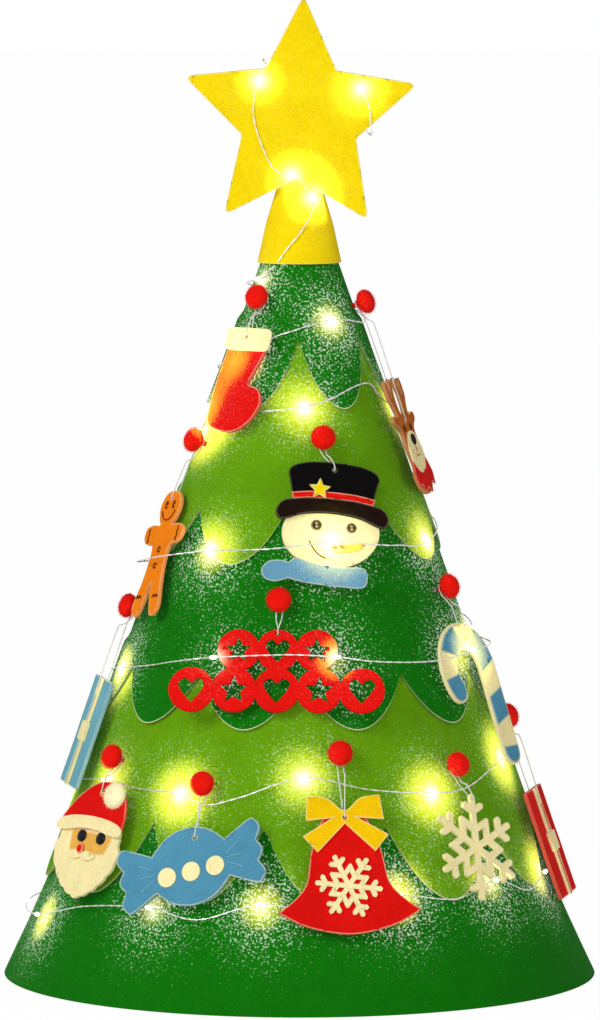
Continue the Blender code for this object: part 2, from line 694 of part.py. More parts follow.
outline = smooth(spread(mirrored(HAT_SHARES), HAT_WIDTH, HAT_HEIGHT, (SNOWMAN_SHIFT, -HAT_DROP)), 2)
hat_hole = turned([(SNOWMAN_SHIFT, -HAT_DROP - HAT_HOLE_DEPTH)], SNOWMAN_TILT_DEG, face_middle)[0]
outline = turned(outline, SNOWMAN_TILT_DEG, face_middle)
felt_shape("snowman_hat", outline, BLACK, TRIM_LIFT, TRIM_FELT, [hole_at(hat_hole)], swing)
outline = smooth(spread(SCARF_SHARES, SCARF_WIDTH, SCARF_HEIGHT, (SCARF_SHIFT, -SCARF_DEPTH)), 2)
outline = turned(outline, SNOWMAN_TILT_DEG, face_middle)
felt_shape("snowman_scarf", outline, BLUE, TRIM_LIFT, TRIM_FELT, parent=swing)
hang("snowman", swing, hat_hole, TRIM_LIFT, TRIM_FELT)

# Gingerbread man
GINGER_WIDTH, GINGER_HEIGHT, GINGER_DROP, GINGER_TILT_DEG = 0.062, 0.094, 0.038, 8
GINGER_HOLE_DEPTH = 0.0060
GINGER_SHARES = (
    (0, 0), (0.14, -0.025), (0.21, -0.115), (0.16, -0.21), (0.15, -0.265), (0.33, -0.265), (0.47, -0.29),
    (0.49, -0.365), (0.40, -0.415), (0.22, -0.44), (0.21, -0.58), (0.26, -0.75), (0.34, -0.90),
    (0.28, -0.985), (0.16, -0.98), (0.07, -0.86), (0, -0.73),
)
swing = ornament("gingerbread", -66, 0.5470, -66)
outline = smooth(spread(mirrored(GINGER_SHARES), GINGER_WIDTH, GINGER_HEIGHT, (0, -GINGER_DROP)), 2)
ginger_middle = (0, -GINGER_DROP - GINGER_HEIGHT / 2)
ginger_hole = (0, -GINGER_DROP - GINGER_HOLE_DEPTH)
ginger_hole = turned([ginger_hole], GINGER_TILT_DEG, ginger_middle)[0]
felt_shape(
    "gingerbread_man", turned(outline, GINGER_TILT_DEG, ginger_middle), GINGER, PLATE_LIFT,
    ORNAMENT_FELT, [hole_at(ginger_hole)], swing,
)
hang("gingerbread", swing, ginger_hole, PLATE_LIFT, ORNAMENT_FELT)

# Two gifts with their ribbons
GIFT_WIDTH, GIFT_HEIGHT, GIFT_DROP, GIFT_ROUND = 0.060, 0.080, 0.055, 0.0020
RIBBON_WIDTH, KNOT_WIDTH, KNOT_HEIGHT = 0.011, 0.019, 0.014
GIFT_HOLE_DEPTH = 0.0070


def gift(name, pompom_deg, height_share, plate_deg, look):
    """A square parcel of felt with a ribbon down it and a knot in its middle."""
    swing = ornament(name, pompom_deg, height_share, plate_deg)
    middle = -GIFT_DROP - GIFT_HEIGHT / 2
    outline = rounded(spread(SQUARE_SHARES, GIFT_WIDTH, GIFT_HEIGHT, (0, middle)), GIFT_ROUND)
    hole = (0, -GIFT_DROP - GIFT_HOLE_DEPTH)
    felt_shape(name + "_parcel", outline, look, PLATE_LIFT, ORNAMENT_FELT, [hole_at(hole)], swing)
    half, knot, rise = RIBBON_WIDTH / 2, KNOT_WIDTH / 2, KNOT_HEIGHT / 2
    right = [
        (half, GIFT_HEIGHT / 2), (half, rise), (knot, rise), (knot, -rise), (half, -rise),
        (half, -GIFT_HEIGHT / 2),
    ]
    band = moved([*right, *[(-x, y) for x, y in reversed(right)]], 0, middle)
    felt_shape(name + "_ribbon", band, CREAM, TRIM_LIFT, TRIM_FELT, [hole_at(hole)], swing)
    hang(name, swing, hole, PLATE_LIFT, BOTH_FELTS)


gift("blue_gift", -80, 0.3757, -78, BLUE)
gift("red_gift", 80, 0.2636, 78, RED)

# Garland: two rows of linked medallions, with stars and hearts cut out of them
UPPER_RADIUS, UPPER_PITCH, UPPER_COUNT, UPPER_DEPTH = 0.0148, 0.0275, 3, 0.0362
LOWER_RADIUS, LOWER_PITCH, LOWER_COUNT, LOWER_DEPTH = 0.0160, 0.0300, 5, 0.0648
CUT_OUT_SHARE, CUT_STAR_NOTCH_SHARE = 0.66, 0.46
GARLAND_HOLE_INSET = 0.0032
MEDALLION_SIDES = 16
HEART_SHARES = ((0, 0.42, 1), (0.42, 0.80), (0.86, 0.50), (0.70, -0.06), (0, -0.88, 1))


def star_points(middle, radius, notch_share):
    """Points of a five-pointed star."""
    made = []
    for k in range(10):
        turn = math.radians(90 + 36 * k)
        reach = radius * (notch_share if k % 2 else 1)
        made.append((middle[0] + reach * math.cos(turn), middle[1] + reach * math.sin(turn)))
    return made


swing = ornament("garland", -7, 0.3957, -5)
garland_hole = (0, -UPPER_DEPTH + UPPER_RADIUS - GARLAND_HOLE_INSET)
rows = (
    ("upper", UPPER_RADIUS, UPPER_PITCH, UPPER_COUNT, UPPER_DEPTH, 0),
    ("lower", LOWER_RADIUS, LOWER_PITCH, LOWER_COUNT, LOWER_DEPTH, 1),
)
garland = None
for row_name, radius, pitch, count, depth, first in rows:
    for k in range(count):
        middle = (pitch * (k - (count - 1) / 2), -depth)
        cut_radius = radius * CUT_OUT_SHARE
        if (k + first) % 2:
            holes = [smooth(spread(mirrored(HEART_SHARES), cut_radius, cut_radius, middle), 2)]
        else:
            holes = [star_points(middle, cut_radius, CUT_STAR_NOTCH_SHARE)]
        if row_name == "upper" and k == (count - 1) // 2:
            holes.append(hole_at(garland_hole))
        round_edge = disc(middle, radius, MEDALLION_SIDES, math.pi / MEDALLION_SIDES)
        piece_name = f"garland_{row_name}_piece_{k + 1}" if garland else "garland_medallions"
        piece = felt_shape(piece_name, round_edge, RED, PLATE_LIFT, ORNAMENT_FELT, holes, swing)
        if garland is None:
            garland = piece
            continue
        # the other medallions are joined to the first one
        piece.hide_render = True
        piece.display_type = "WIRE"
        join = garland.modifiers.new("join", "BOOLEAN")
        join.operation = "UNION"
        join.solver = "EXACT"
        join.object = piece
hang("garland", swing, garland_hole, PLATE_LIFT, ORNAMENT_FELT)

# Candy cane
CANE_BEND_RADIUS, CANE_WIDTH, CANE_SHAFT, CANE_DROP = 0.0245, 0.020, 0.0625, 0.027
CANE_HOOK_DEG, CANE_SHIFT, CANE_STANDOFF = 212, -0.0077, 0.0022
CANE_HOLE_X = 0.0
swing = ornament("candy_cane", 64, 0.4000, 57)
bend_middle = (CANE_SHIFT, -CANE_DROP - CANE_BEND_RADIUS - CANE_WIDTH / 2)
line = []
for step in range(13):
    turn = math.radians(CANE_HOOK_DEG * (1 - step / 12))
    line.append((
        bend_middle[0] + CANE_BEND_RADIUS * math.cos(turn), bend_middle[1] + CANE_BEND_RADIUS * math.sin(turn)
    ))
line.append((bend_middle[0] + CANE_BEND_RADIUS, bend_middle[1] - CANE_SHAFT))
hole_rise = math.sqrt(CANE_BEND_RADIUS**2 - (CANE_HOLE_X - bend_middle[0]) ** 2)
cane_hole = (CANE_HOLE_X, bend_middle[1] + hole_rise)
felt_shape(
    "candy_cane_crook", stroke(line, CANE_WIDTH), CREAM, PLATE_LIFT + CANE_STANDOFF, ORNAMENT_FELT,
    [hole_at(cane_hole)], swing,
)
hang("candy_cane", swing, cane_hole, PLATE_LIFT + CANE_STANDOFF, ORNAMENT_FELT)

# Santa, with his hat laid over his face
SANTA_WIDTH, SANTA_HEIGHT, SANTA_DEPTH = 0.072, 0.058, 0.045
SANTA_HAT_WIDTH, SANTA_HAT_HEIGHT, SANTA_HAT_DEPTH = 0.070, 0.035, 0.0185
SANTA_HOLE = (0.0020, -0.0270)
SANTA_STANDOFF, SANTA_SHIFT = 0.0008, -0.0009
SANTA_FACE_SHARES = (
    (0, 0), (0.30, -0.02), (0.44, -0.10), (0.46, -0.26), (0.50, -0.42), (0.46, -0.58), (0.38, -0.72),
    (0.26, -0.86), (0.13, -0.95), (0, -1.0),
)
SANTA_HAT_SHARES = (
    (-0.50, -1.0, 1), (-0.47, -0.78), (-0.30, -0.36), (-0.06, -0.05), (0.22, 0.0), (0.42, -0.24),
    (0.50, -0.62), (0.50, -1.0, 1),
)
swing = ornament("santa", -56, 0.2320, -51)
outline = smooth(spread(mirrored(SANTA_FACE_SHARES), SANTA_WIDTH, SANTA_HEIGHT, (SANTA_SHIFT, -SANTA_DEPTH)), 2)
felt_shape("santa_face", outline, CREAM, PLATE_LIFT + SANTA_STANDOFF, ORNAMENT_FELT, parent=swing)
outline = smooth(spread(SANTA_HAT_SHARES, SANTA_HAT_WIDTH, SANTA_HAT_HEIGHT, (SANTA_SHIFT, -SANTA_HAT_DEPTH)))
felt_shape(
    "santa_hat", outline, RED, TRIM_LIFT + SANTA_STANDOFF, TRIM_FELT, [hole_at(SANTA_HOLE)], swing
)
hang("santa", swing, SANTA_HOLE, TRIM_LIFT + SANTA_STANDOFF, TRIM_FELT)

# Wrapped candy
CANDY_WIDTH, CANDY_HEIGHT, CANDY_DEPTH, CANDY_TILT_DEG = 0.110, 0.056, 0.0590, 17
CANDY_HOLE_RISE = 0.0205
CANDY_SHARES = (
    (0, 0.5), (0.145, 0.43), (0.255, 0.24, 1), (0.43, 0.41), (0.478, 0.38), (0.50, 0.27), (0.462, 0.135, 1),
    (0.50, 0), (0.462, -0.135, 1), (0.50, -0.27), (0.478, -0.38), (0.43, -0.41), (0.255, -0.24, 1),
    (0.145, -0.43), (0, -0.5),
)
swing = ornament("candy", -24.5, 0.2157, -24.5)
outline = smooth(mirrored(spread(CANDY_SHARES, CANDY_WIDTH, CANDY_HEIGHT)), 2)
candy_hole = (0, -CANDY_DEPTH + CANDY_HOLE_RISE)
felt_shape(
    "candy_wrapper", moved(turned(outline, CANDY_TILT_DEG), 0, -CANDY_DEPTH), BLUE, PLATE_LIFT,
    ORNAMENT_FELT, [hole_at(candy_hole)], swing,
)
hang("candy", swing, candy_hole, PLATE_LIFT, ORNAMENT_FELT)


# where each pair of branches leaves its arm, and how long it is, as shares of the radius
BRANCH_SHARES = ((0.40, 0.23), (0.68, 0.24))
BRANCH_SLANT_DEG = 60
BRANCH_TIP, ARM_TIP_LENGTH, ARM_TIP_WIDTH = 0.8, 0.6, 0.4


def snowflake(radius, width, turn_deg):
    """Outline of a snowflake: six arms, each with two pairs of slanting branches."""
    half = width / 2
    slant = math.radians(BRANCH_SLANT_DEG)
    along = Vector((math.cos(slant), math.sin(slant)))
    side = Vector((-math.sin(slant), math.cos(slant)))
    arm = [Vector((half / math.tan(math.radians(30)), half))]
    for root_share, length_share in BRANCH_SHARES:
        root, length = Vector((root_share * radius, 0)), length_share * radius
        low, high = half * (1 - along.x) / along.y, half * (1 + along.x) / along.y
        arm += [
            root + side * half + along * low, root + side * half + along * length,
            root + along * (length + half * BRANCH_TIP), root - side * half + along * length,
            root - side * half + along * high,
        ]
    arm += [Vector((radius - half * ARM_TIP_LENGTH, half)), Vector((radius, half * ARM_TIP_WIDTH))]
    both = [(p.x, -p.y) for p in arm] + [(p.x, p.y) for p in reversed(arm)]
    made = []
    for k in range(6):
        made += turned(both, 90 + turn_deg + 60 * k)[1:]
    return made


# Bell, with its bow and its snowflake
BELL_WIDTH, BELL_HEIGHT, BELL_TOP = 0.101, 0.088, 0.0405
BOW_WIDTH, BOW_HEIGHT, BOW_TOP = 0.061, 0.040, 0.0303
BELL_HOLE_DEPTH = 0.0460
BELL_FLAKE_RADIUS, BELL_FLAKE_WIDTH, BELL_FLAKE_DEPTH, BELL_FLAKE_TURN_DEG = 0.0238, 0.0034, 0.0945, 23
BELL_SHARES = (
    (0, 0), (0.13, -0.045), (0.215, -0.21), (0.255, -0.38), (0.29, -0.58), (0.37, -0.70), (0.50, -0.815, 1),
    (0.30, -0.935), (0, -1.0),
)
BOW_SHARES = (
    (0, -0.27), (0.19, -0.05), (0.42, 0.0, 1), (0.455, -0.44, 1), (0.15, -0.40, 1), (0.50, -0.71, 1),
    (0.335, -1.0, 1), (0, -0.50, 1),
)
swing = ornament("bell", 10.5, 0.2470, 10.5)
bell_hole = (0, -BELL_HOLE_DEPTH)
outline = smooth(mirrored(spread(BELL_SHARES, BELL_WIDTH, BELL_HEIGHT, (0, -BELL_TOP))), 2)
felt_shape("bell_body", outline, RED, PLATE_LIFT, ORNAMENT_FELT, [hole_at(bell_hole)], swing)
outline = smooth(mirrored(spread(BOW_SHARES, BOW_WIDTH, BOW_HEIGHT, (0, -BOW_TOP))), 2)
felt_shape("bell_bow", outline, YELLOW, TRIM_LIFT, TRIM_FELT, [hole_at(bell_hole)], swing)
outline = moved(snowflake(BELL_FLAKE_RADIUS, BELL_FLAKE_WIDTH, BELL_FLAKE_TURN_DEG), 0, -BELL_FLAKE_DEPTH)
felt_shape("bell_snowflake", outline, CREAM, TRIM_LIFT, TRIM_FELT, parent=swing)
hang("bell", swing, bell_hole, PLATE_LIFT, BOTH_FELTS)

# Snowflake
FLAKE_RADIUS, FLAKE_WIDTH, FLAKE_DEPTH, FLAKE_TURN_DEG = 0.0385, 0.0048, 0.0600, -10
FLAKE_HOLE_RADIUS, FLAKE_HOLE_INSET = 0.0011, 0.0034
swing = ornament("snowflake", 44, 0.2290, 43.5)
hole_reach = FLAKE_RADIUS - FLAKE_HOLE_INSET
flake_hole = turned([(0, hole_reach)], FLAKE_TURN_DEG)[0]
flake_hole = (flake_hole[0], flake_hole[1] - FLAKE_DEPTH)
outline = moved(snowflake(FLAKE_RADIUS, FLAKE_WIDTH, FLAKE_TURN_DEG), 0, -FLAKE_DEPTH)
felt_shape(
    "snowflake_plate", outline, CREAM, PLATE_LIFT, ORNAMENT_FELT, [hole_at(flake_hole, FLAKE_HOLE_RADIUS)],
    swing,
)
hang("snowflake", swing, flake_hole, PLATE_LIFT, ORNAMENT_FELT)


# String of lights

def string_points(route):
    """Points and radius shares of a string of lights, from the points of its way and which are lamps."""
    places = [p for p, bead in route]
    points, radii = [], []
    for i, (place, bead) in enumerate(route):
        before, after = places[max(i - 1, 0)], places[min(i + 1, len(route) - 1)]
        along = (after - before).normalized()
        if bead:
            full = BEAD_RADIUS / WIRE_RADIUS
            steps = (-1, -BEAD_SHOULDER_SHARE, 0, BEAD_SHOULDER_SHARE, 1)
            sizes = (1, full * BEAD_SHOULDER_RADIUS_SHARE, full, full * BEAD_SHOULDER_RADIUS_SHARE, 1)
            points += [places[i] + along * BEAD_HALF_LENGTH * s for s in steps]
            radii += sizes
        else:
            points.append(places[i])
            radii.append(1.0)
    return points, radii


def curve_through(keys, step):
    """A smooth curve through keys of (vector, is a bead), with points about a step apart between them."""
    made = []
    count = len(keys)
    for i in range(count - 1):
        a, b = keys[max(i - 1, 0)][0], keys[i][0]
        c, d = keys[i + 1][0], keys[min(i + 2, count - 1)][0]
        made.append((b.copy(), keys[i][1]))
        pieces = max(1, round(step(b, c)))
        for k in range(1, pieces):
            t = k / pieces
            leave, reach = (c - a) / 2, (d - b) / 2
            made.append((
                b * (2 * t**3 - 3 * t**2 + 1) + leave * (t**3 - 2 * t**2 + t)
                + c * (3 * t**2 - 2 * t**3) + reach * (t**3 - t**2), False,
            ))
    made.append(keys[-1])
    return made


# On the star and the cap: across and height as shares of the tree's height, the surface, and if a lamp
STAR_ROUTE = (
    (0.0629, 0.9086, "front", 1), (0.0707, 0.8914, "front", 0), (0.0726, 0.8743, "front", 0),
    (0.0736, 0.8643, "front", 0), (0.0726, 0.8614, "back", 0), (0.0629, 0.8714, "back", 0),
    (0.0286, 0.9000, "back", 0), (-0.0293, 0.9300, "back", 0), (-0.0364, 0.9393, "back", 0),
    (-0.0374, 0.9379, "front", 0), (-0.0379, 0.9271, "front", 0),
    (-0.0409, 0.9171, "front", 1), (-0.0464, 0.9000, "front", 0), (-0.0449, 0.8700, "front", 0),
    (-0.0271, 0.8286, "front", 0), (-0.0079, 0.8207, "front", 1), (0.0057, 0.8093, "front", 0),
    (0.0139, 0.7986, "cap", 1), (0.0121, 0.7829, "cap", 0), (0.0014, 0.7643, "cap", 0),
    (-0.0114, 0.7486, "cap", 0), (-0.0221, 0.7336, "cap", 0),
)


def cap_front(x, z):
    """How far before the axis the cap's outside lies at a place."""
    low, high = CAP_LEVELS[0], CAP_LEVELS[1]
    for first, second in zip(CAP_LEVELS, CAP_LEVELS[1:]):
        if first[0] <= z <= second[0]:
            low, high = first, second
    t = (z - low[0]) / (high[0] - low[0])
    wide, deep = low[1] + (high[1] - low[1]) * t, low[2] + (high[2] - low[2]) * t
    return deep * math.sqrt(max(0.0, 1 - (x / wide) ** 2))


def star_key(across, height, surface, bead):
    x, z = across * TREE_HEIGHT, height * TREE_HEIGHT
    off = LAY_GAP + (BEAD_RADIUS if bead else 2 * WIRE_RADIUS)
    depth = {
        "front": star_back + STAR_FELT + off, "back": star_back - off, "cap": 0.0,
    }[surface]
    if surface == "cap":
        depth = cap_front(x, z) + off + WIRE_RADIUS
    return Vector((x, -depth, z)), bool(bead)


def star_step(b, c):
    return (c - b).length / WIRE_STEP


star_keys = [star_key(*place) for place in STAR_ROUTE]
points, radii = string_points(curve_through(star_keys, star_step))
tube("star_lights", points, WIRE_RADIUS, WIRE, radii, parent=topper)

# Round the cone, from the cap down to the hem: angle, height as a share of the tree's, and if a lamp.
# The angle falls by 360 each time round, and at the back lamps at even steps fill the way between rows.
CONE_ROUTE = (
    (-32, 0.7300, 0), (-42, 0.7229, 0), (-56, 0.7157, 1), (-190, 0.6957, 1),
    (-262, 0.6757, 0), (-283, 0.6707, 0), (-330, 0.6757, 1), (-372, 0.6629, 0),
    (-387, 0.6543, 0), (-408, 0.6357, 1), (-628, 0.5886, 1), (-670, 0.6114, 0),
    (-717, 0.5900, 1), (-782, 0.5786, 1), (-796, 0.5614, 1),
)


def cone_key(angle, height, bead=0):
    return Vector((angle, height * TREE_HEIGHT, WIRE_LIFT)), bool(bead)


def plate_key(turn, swing_angle, height, across, above, bead=0):
    """A key over an ornament: across its middle line and above its tangent plane, as a place on the cone."""
    height, across = height * TREE_HEIGHT, across * TREE_HEIGHT
    radius = cone_radius(height) + above / math.cos(LEAN)
    angle = math.degrees(math.atan2(across, radius))
    lift = (math.hypot(radius, across) - cone_radius(height)) * math.cos(LEAN)
    return Vector((turn + swing_angle + angle, height, lift)), bool(bead)


def back_beads(start, end):
    """Evenly spaced beads between the last key of one row and the first of the next."""
    way = math.radians(start[0] - end[0]) * cone_radius((start[1] + end[1]) / 2)
    count = round(way / BEAD_SPACING) - 1
    return [(start.lerp(end, k / (count + 1)), True) for k in range(1, count + 1)]


# How far the wire and its lamps pass over the plane of an ornament that they cross in front
FRONT_RISE = 0.0146
BEAD_FRONT_RISE = 0.0156
LIGHT_ROWS = (
    # over the snowman's face and the gingerbread man
    (
        cone_key(-1015, 0.4514, 1), plate_key(-1080, 12, 0.4536, 0.0657, FRONT_RISE),
        plate_key(-1080, 12, 0.4579, 0.0014, BEAD_FRONT_RISE, 1),
        plate_key(-1080, 12, 0.4521, -0.0714, FRONT_RISE), cone_key(-1119, 0.4457, 1),
        plate_key(-1080, -66, 0.4400, 0.0371, FRONT_RISE),
        plate_key(-1080, -66, 0.4271, -0.0371, FRONT_RISE), cone_key(-1176, 0.4229),
    ),
    # over the candy cane and the garland
    (
        cone_key(-1356, 0.3571, 1), plate_key(-1440, 57, 0.3471, 0.0543, FRONT_RISE + CANE_STANDOFF),
        plate_key(-1440, 57, 0.3429, 0.0171, BEAD_FRONT_RISE + CANE_STANDOFF, 1),
        plate_key(-1440, 57, 0.3386, -0.0571, FRONT_RISE + CANE_STANDOFF),
        plate_key(-1440, -5, 0.3429, 0.0943, FRONT_RISE),
        plate_key(-1440, -5, 0.3471, 0.0543, BEAD_FRONT_RISE, 1),
        plate_key(-1440, -5, 0.3486, 0.0000, FRONT_RISE),
        plate_key(-1440, -5, 0.3457, -0.0693, BEAD_FRONT_RISE, 1),
        plate_key(-1440, -5, 0.3429, -0.0943, FRONT_RISE), cone_key(-1492, 0.3300),
        cone_key(-1514, 0.3200, 1),
    ),
    # under the pompoms of the lowest ornaments
    (
        cone_key(-1729, 0.2314, 1), cone_key(-1740, 0.2243), cone_key(-1750, 0.2129),
        cone_key(-1756, 0.2086), cone_key(-1764, 0.2086, 1), cone_key(-1782, 0.2157),
        cone_key(-1799, 0.2286, 1), cone_key(-1815, 0.2086), cone_key(-1824, 0.2000),
        cone_key(-1832, 0.2093, 1), cone_key(-1845, 0.2100), cone_key(-1860, 0.2129, 1),
    ),
    # under the lowest ornaments, then to the hole of the lead
    (
        cone_key(-2088, 0.1143, 1), cone_key(-2100, 0.1029), cone_key(-2111, 0.1186, 1),
        cone_key(-2124, 0.1057), cone_key(-2138, 0.1129, 1), cone_key(-2153, 0.1000),
        cone_key(-2168.5, 0.1064, 1), cone_key(-2182, 0.0900), cone_key(-2194, 0.0979, 1),
        cone_key(-2212, 0.0914), cone_key(-2232, 0.0714, 1), cone_key(-2254, 0.0700, 1),
        cone_key(-2266, LEAD_HOLE_SHARE),
    ),
)
keys = [cone_key(*place) for place in CONE_ROUTE]
for row in LIGHT_ROWS:
    keys += [*back_beads(keys[-1][0], row[0][0]), *row]


def cone_step(b, c):
    return max(abs(c.x - b.x) / WIRE_STEP_DEG, abs(c.y - b.y) / WIRE_STEP)


round_cone = [
    (on_cone(key.x, key.y, max(key.z, WIRE_LIFT)), bead) for key, bead in curve_through(keys, cone_step)
]

# Battery box
half_box = CELL_RADIUS * 2 + CELL_GAP * 1.5 + BOX_WALL + LID_RUNNER
box_bow = cone_radius(BOX_HEIGHT) - math.sqrt(cone_radius(BOX_HEIGHT) ** 2 - half_box**2)
right, up, out = cone_axes(BOX_DEG)
box_origin = on_cone(BOX_DEG, BOX_HEIGHT, -(BASE_FELT + box_bow + 2 * LAY_GAP))
box_frame = frame_at(box_origin, -right, up, -out)
pocket_half = CELL_RADIUS * 2 + CELL_GAP * 1.5
pocket_low = -BOX_LENGTH / 2 + BOX_WALL
pocket_high = pocket_low + CELL_LENGTH + 2 * CONTACT_ROOM
lid_seat = BOX_WALL + 2 * CELL_RADIUS + CELL_GAP
lid_slot_top = lid_seat + LID_THICKNESS + 2 * RUN_GAP
box_depth = lid_slot_top + LID_LIP


def block(name, low, high, look=BOX, parent=None):
    """A box between two corners of the battery box's frame."""
    bm = bmesh.new()
    bmesh.ops.create_cube(bm, size=1)
    size, middle = Vector(high) - Vector(low), (Vector(high) + Vector(low)) / 2
    bmesh.ops.scale(bm, verts=bm.verts, vec=size)
    bmesh.ops.translate(bm, verts=bm.verts, vec=middle)
    return finish(name, bm, look, box_frame, parent)


case = block("battery_case", (-half_box, -BOX_LENGTH / 2, 0), (half_box, BOX_LENGTH / 2, box_depth))
cut(case, block(
    "cell_pocket_cutter", (-pocket_half, pocket_low, BOX_WALL), (pocket_half, pocket_high, lid_seat + RUN_GAP)
))
cut(case, block(
    "lid_slot_cutter", (-pocket_half - LID_RUNNER, -BOX_LENGTH / 2 - CUT_OVERRUN, lid_seat),
    (pocket_half + LID_RUNNER, pocket_high, lid_slot_top),
))
cut(case, block(
    "lid_opening_cutter", (-pocket_half, -BOX_LENGTH / 2 - CUT_OVERRUN, lid_slot_top - RUN_GAP),
    (pocket_half, pocket_high, box_depth + CUT_OVERRUN),
))
switch_middle = (pocket_high + BOX_LENGTH / 2) / 2
switch_half = SWITCH_LENGTH / 2 + RUN_GAP
switch_reach = (SWITCH_WIDTH + SWITCH_TRAVEL) / 2 + RUN_GAP
cut(case, block(
    "switch_slot_cutter",
    (-switch_reach, switch_middle - switch_half, box_depth - SWITCH_DEPTH - RUN_GAP),
    (switch_reach, switch_middle + switch_half, box_depth + CUT_OVERRUN),
))

# Lid: a plate with grooves for the thumb, which slides down and out
lid_half = pocket_half + LID_RUNNER - RUN_GAP
lid_high, lid_low = pocket_high - RUN_GAP, -BOX_LENGTH / 2
lid_floor, lid_roof = lid_seat + RUN_GAP, lid_seat + RUN_GAP + LID_THICKNESS
side = [(lid_low, lid_floor), (lid_high, lid_floor), (lid_high, lid_roof)]
for k in range(LID_GRIP_COUNT, 0, -1):
    place = lid_low + LID_GRIP_WIDTH * (2 * k + 1)
    groove = lid_roof - LID_GRIP_DEPTH
    side += [(place, lid_roof), (place, groove), (place - LID_GRIP_WIDTH, groove), (place - LID_GRIP_WIDTH, lid_roof)]
side.append((lid_low, lid_roof))
bm = bmesh.new()
rim = bm.faces.new([bm.verts.new((-lid_half, y, z)) for y, z in side])
grown = bmesh.ops.extrude_face_region(bm, geom=[rim], use_keep_orig=True)
far = [item for item in grown["geom"] if isinstance(item, bmesh.types.BMVert)]
bmesh.ops.translate(bm, verts=far, vec=(2 * lid_half, 0, 0))
finish("battery_lid", bm, BOX, box_frame)

# Switch: a stem in its slot with a wider knob on top, at the end of its travel
stem_low = box_depth - SWITCH_DEPTH
stem_left = -SWITCH_WIDTH / 2 - SWITCH_TRAVEL / 2
block(
    "switch_knob", (stem_left, switch_middle - SWITCH_LENGTH / 2, stem_low),
    (stem_left + SWITCH_WIDTH, switch_middle + SWITCH_LENGTH / 2, box_depth + SWITCH_KNOB_HEIGHT),
)


def cell(name, across, way):
    """A cell on its side: a jacket with a nub at the end that it points to."""
    start = (pocket_low + pocket_high) / 2 - way * (CELL_LENGTH + CELL_NUB_LENGTH) / 2
    profile = (
        (0, 0), (CELL_RADIUS, 0), (CELL_RADIUS, CELL_LENGTH - CELL_NUB_LENGTH),
        (CELL_NUB_RADIUS, CELL_LENGTH - CELL_NUB_LENGTH), (CELL_NUB_RADIUS, CELL_LENGTH), (0, CELL_LENGTH),
    )
    bm = bmesh.new()
    corners = [
        bm.verts.new((across, start + way * y, BOX_WALL + CELL_RADIUS + RUN_GAP + r)) for r, y in profile
    ]
    edges = [bm.edges.new(pair) for pair in zip(corners, corners[1:])]
    bmesh.ops.spin(
        bm, geom=[*corners, *edges], cent=(across, 0, BOX_WALL + CELL_RADIUS + RUN_GAP), axis=(0, 1, 0),
        angle=2 * math.pi, steps=16, use_merge=True,
    )
    bmesh.ops.remove_doubles(bm, verts=bm.verts, dist=LAY_GAP / 10)
    return round_off(finish(name, bm, CELL, box_frame))


cell("cell_1", -CELL_RADIUS - CELL_GAP / 2, 1)
cell("cell_2", CELL_RADIUS + CELL_GAP / 2, -1)

# The lead: through its hole, along the inside of the cone and into the case
lead_height = LEAD_HOLE_SHARE * TREE_HEIGHT
lead_end = box_frame @ Vector((-half_box - RUN_GAP, BOX_LENGTH / 2 - LEAD_ENTRY, BOX_WALL * 3))
lead_before = box_frame @ Vector((-half_box - LEAD_ENTRY, BOX_LENGTH / 2 - LEAD_ENTRY, BOX_WALL * 3))
inner = -BASE_FELT - LEAD_INSIDE_CLEARANCE
lead = [
    (on_cone(LEAD_HOLE_DEG + LEAD_DIP_DEG, lead_height, WIRE_LIFT * LEAD_DIP_SHARE), False),
    (on_cone(LEAD_HOLE_DEG, lead_height, WIRE_RADIUS), False),
    (on_cone(LEAD_HOLE_DEG, lead_height, -BASE_FELT - WIRE_RADIUS), False),
    (on_cone(LEAD_HOLE_DEG - LEAD_TURN_DEG, lead_height, inner), False),
    (on_cone(LEAD_HOLE_DEG - LEAD_RUN_DEG, lead_height * LEAD_RUN_RISE, inner), False),
    (lead_before, False), (lead_end, False),
]
tail = curve_through(round_cone[-2:] + lead, star_step)[1:]
points, radii = string_points(round_cone[:-1] + tail)
tube("tree_lights", points, WIRE_RADIUS, WIRE, radii)
length = sum((b - a).length for a, b in zip(points, points[1:]))
print("lights on the tree:", round(length, 3), "m,", sum(bead for key, bead in round_cone), "beads")
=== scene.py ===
"""The looks of a felt Christmas tree for a table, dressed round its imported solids.
Metres, +Z up, with the tree's front along -Y and the middle of its hem at the origin."""

import json
import math

import bmesh
import bpy
import numpy as np
from mathutils import Matrix, Vector, noise


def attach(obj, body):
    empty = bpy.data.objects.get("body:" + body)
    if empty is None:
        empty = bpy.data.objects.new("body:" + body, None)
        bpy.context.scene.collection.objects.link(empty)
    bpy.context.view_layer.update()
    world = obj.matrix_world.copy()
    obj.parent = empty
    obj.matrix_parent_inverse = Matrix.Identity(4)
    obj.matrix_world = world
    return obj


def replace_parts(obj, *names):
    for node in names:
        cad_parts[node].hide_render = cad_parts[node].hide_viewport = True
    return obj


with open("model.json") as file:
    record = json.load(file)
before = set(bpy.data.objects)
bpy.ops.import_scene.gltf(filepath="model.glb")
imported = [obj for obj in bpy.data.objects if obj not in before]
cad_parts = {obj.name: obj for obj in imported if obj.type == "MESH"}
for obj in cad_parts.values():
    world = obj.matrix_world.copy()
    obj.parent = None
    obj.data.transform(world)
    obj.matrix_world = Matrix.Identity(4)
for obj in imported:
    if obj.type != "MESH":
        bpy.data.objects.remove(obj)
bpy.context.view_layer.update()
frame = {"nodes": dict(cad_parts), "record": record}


# Camera
# The photograph is taken from five metres away and a little above the tree, through a long lens.
CAMERA_PLACE = (0, -5.0, 0.774)
CAMERA_DOWN_DEG = 5.03
LENS_MM = 246.7
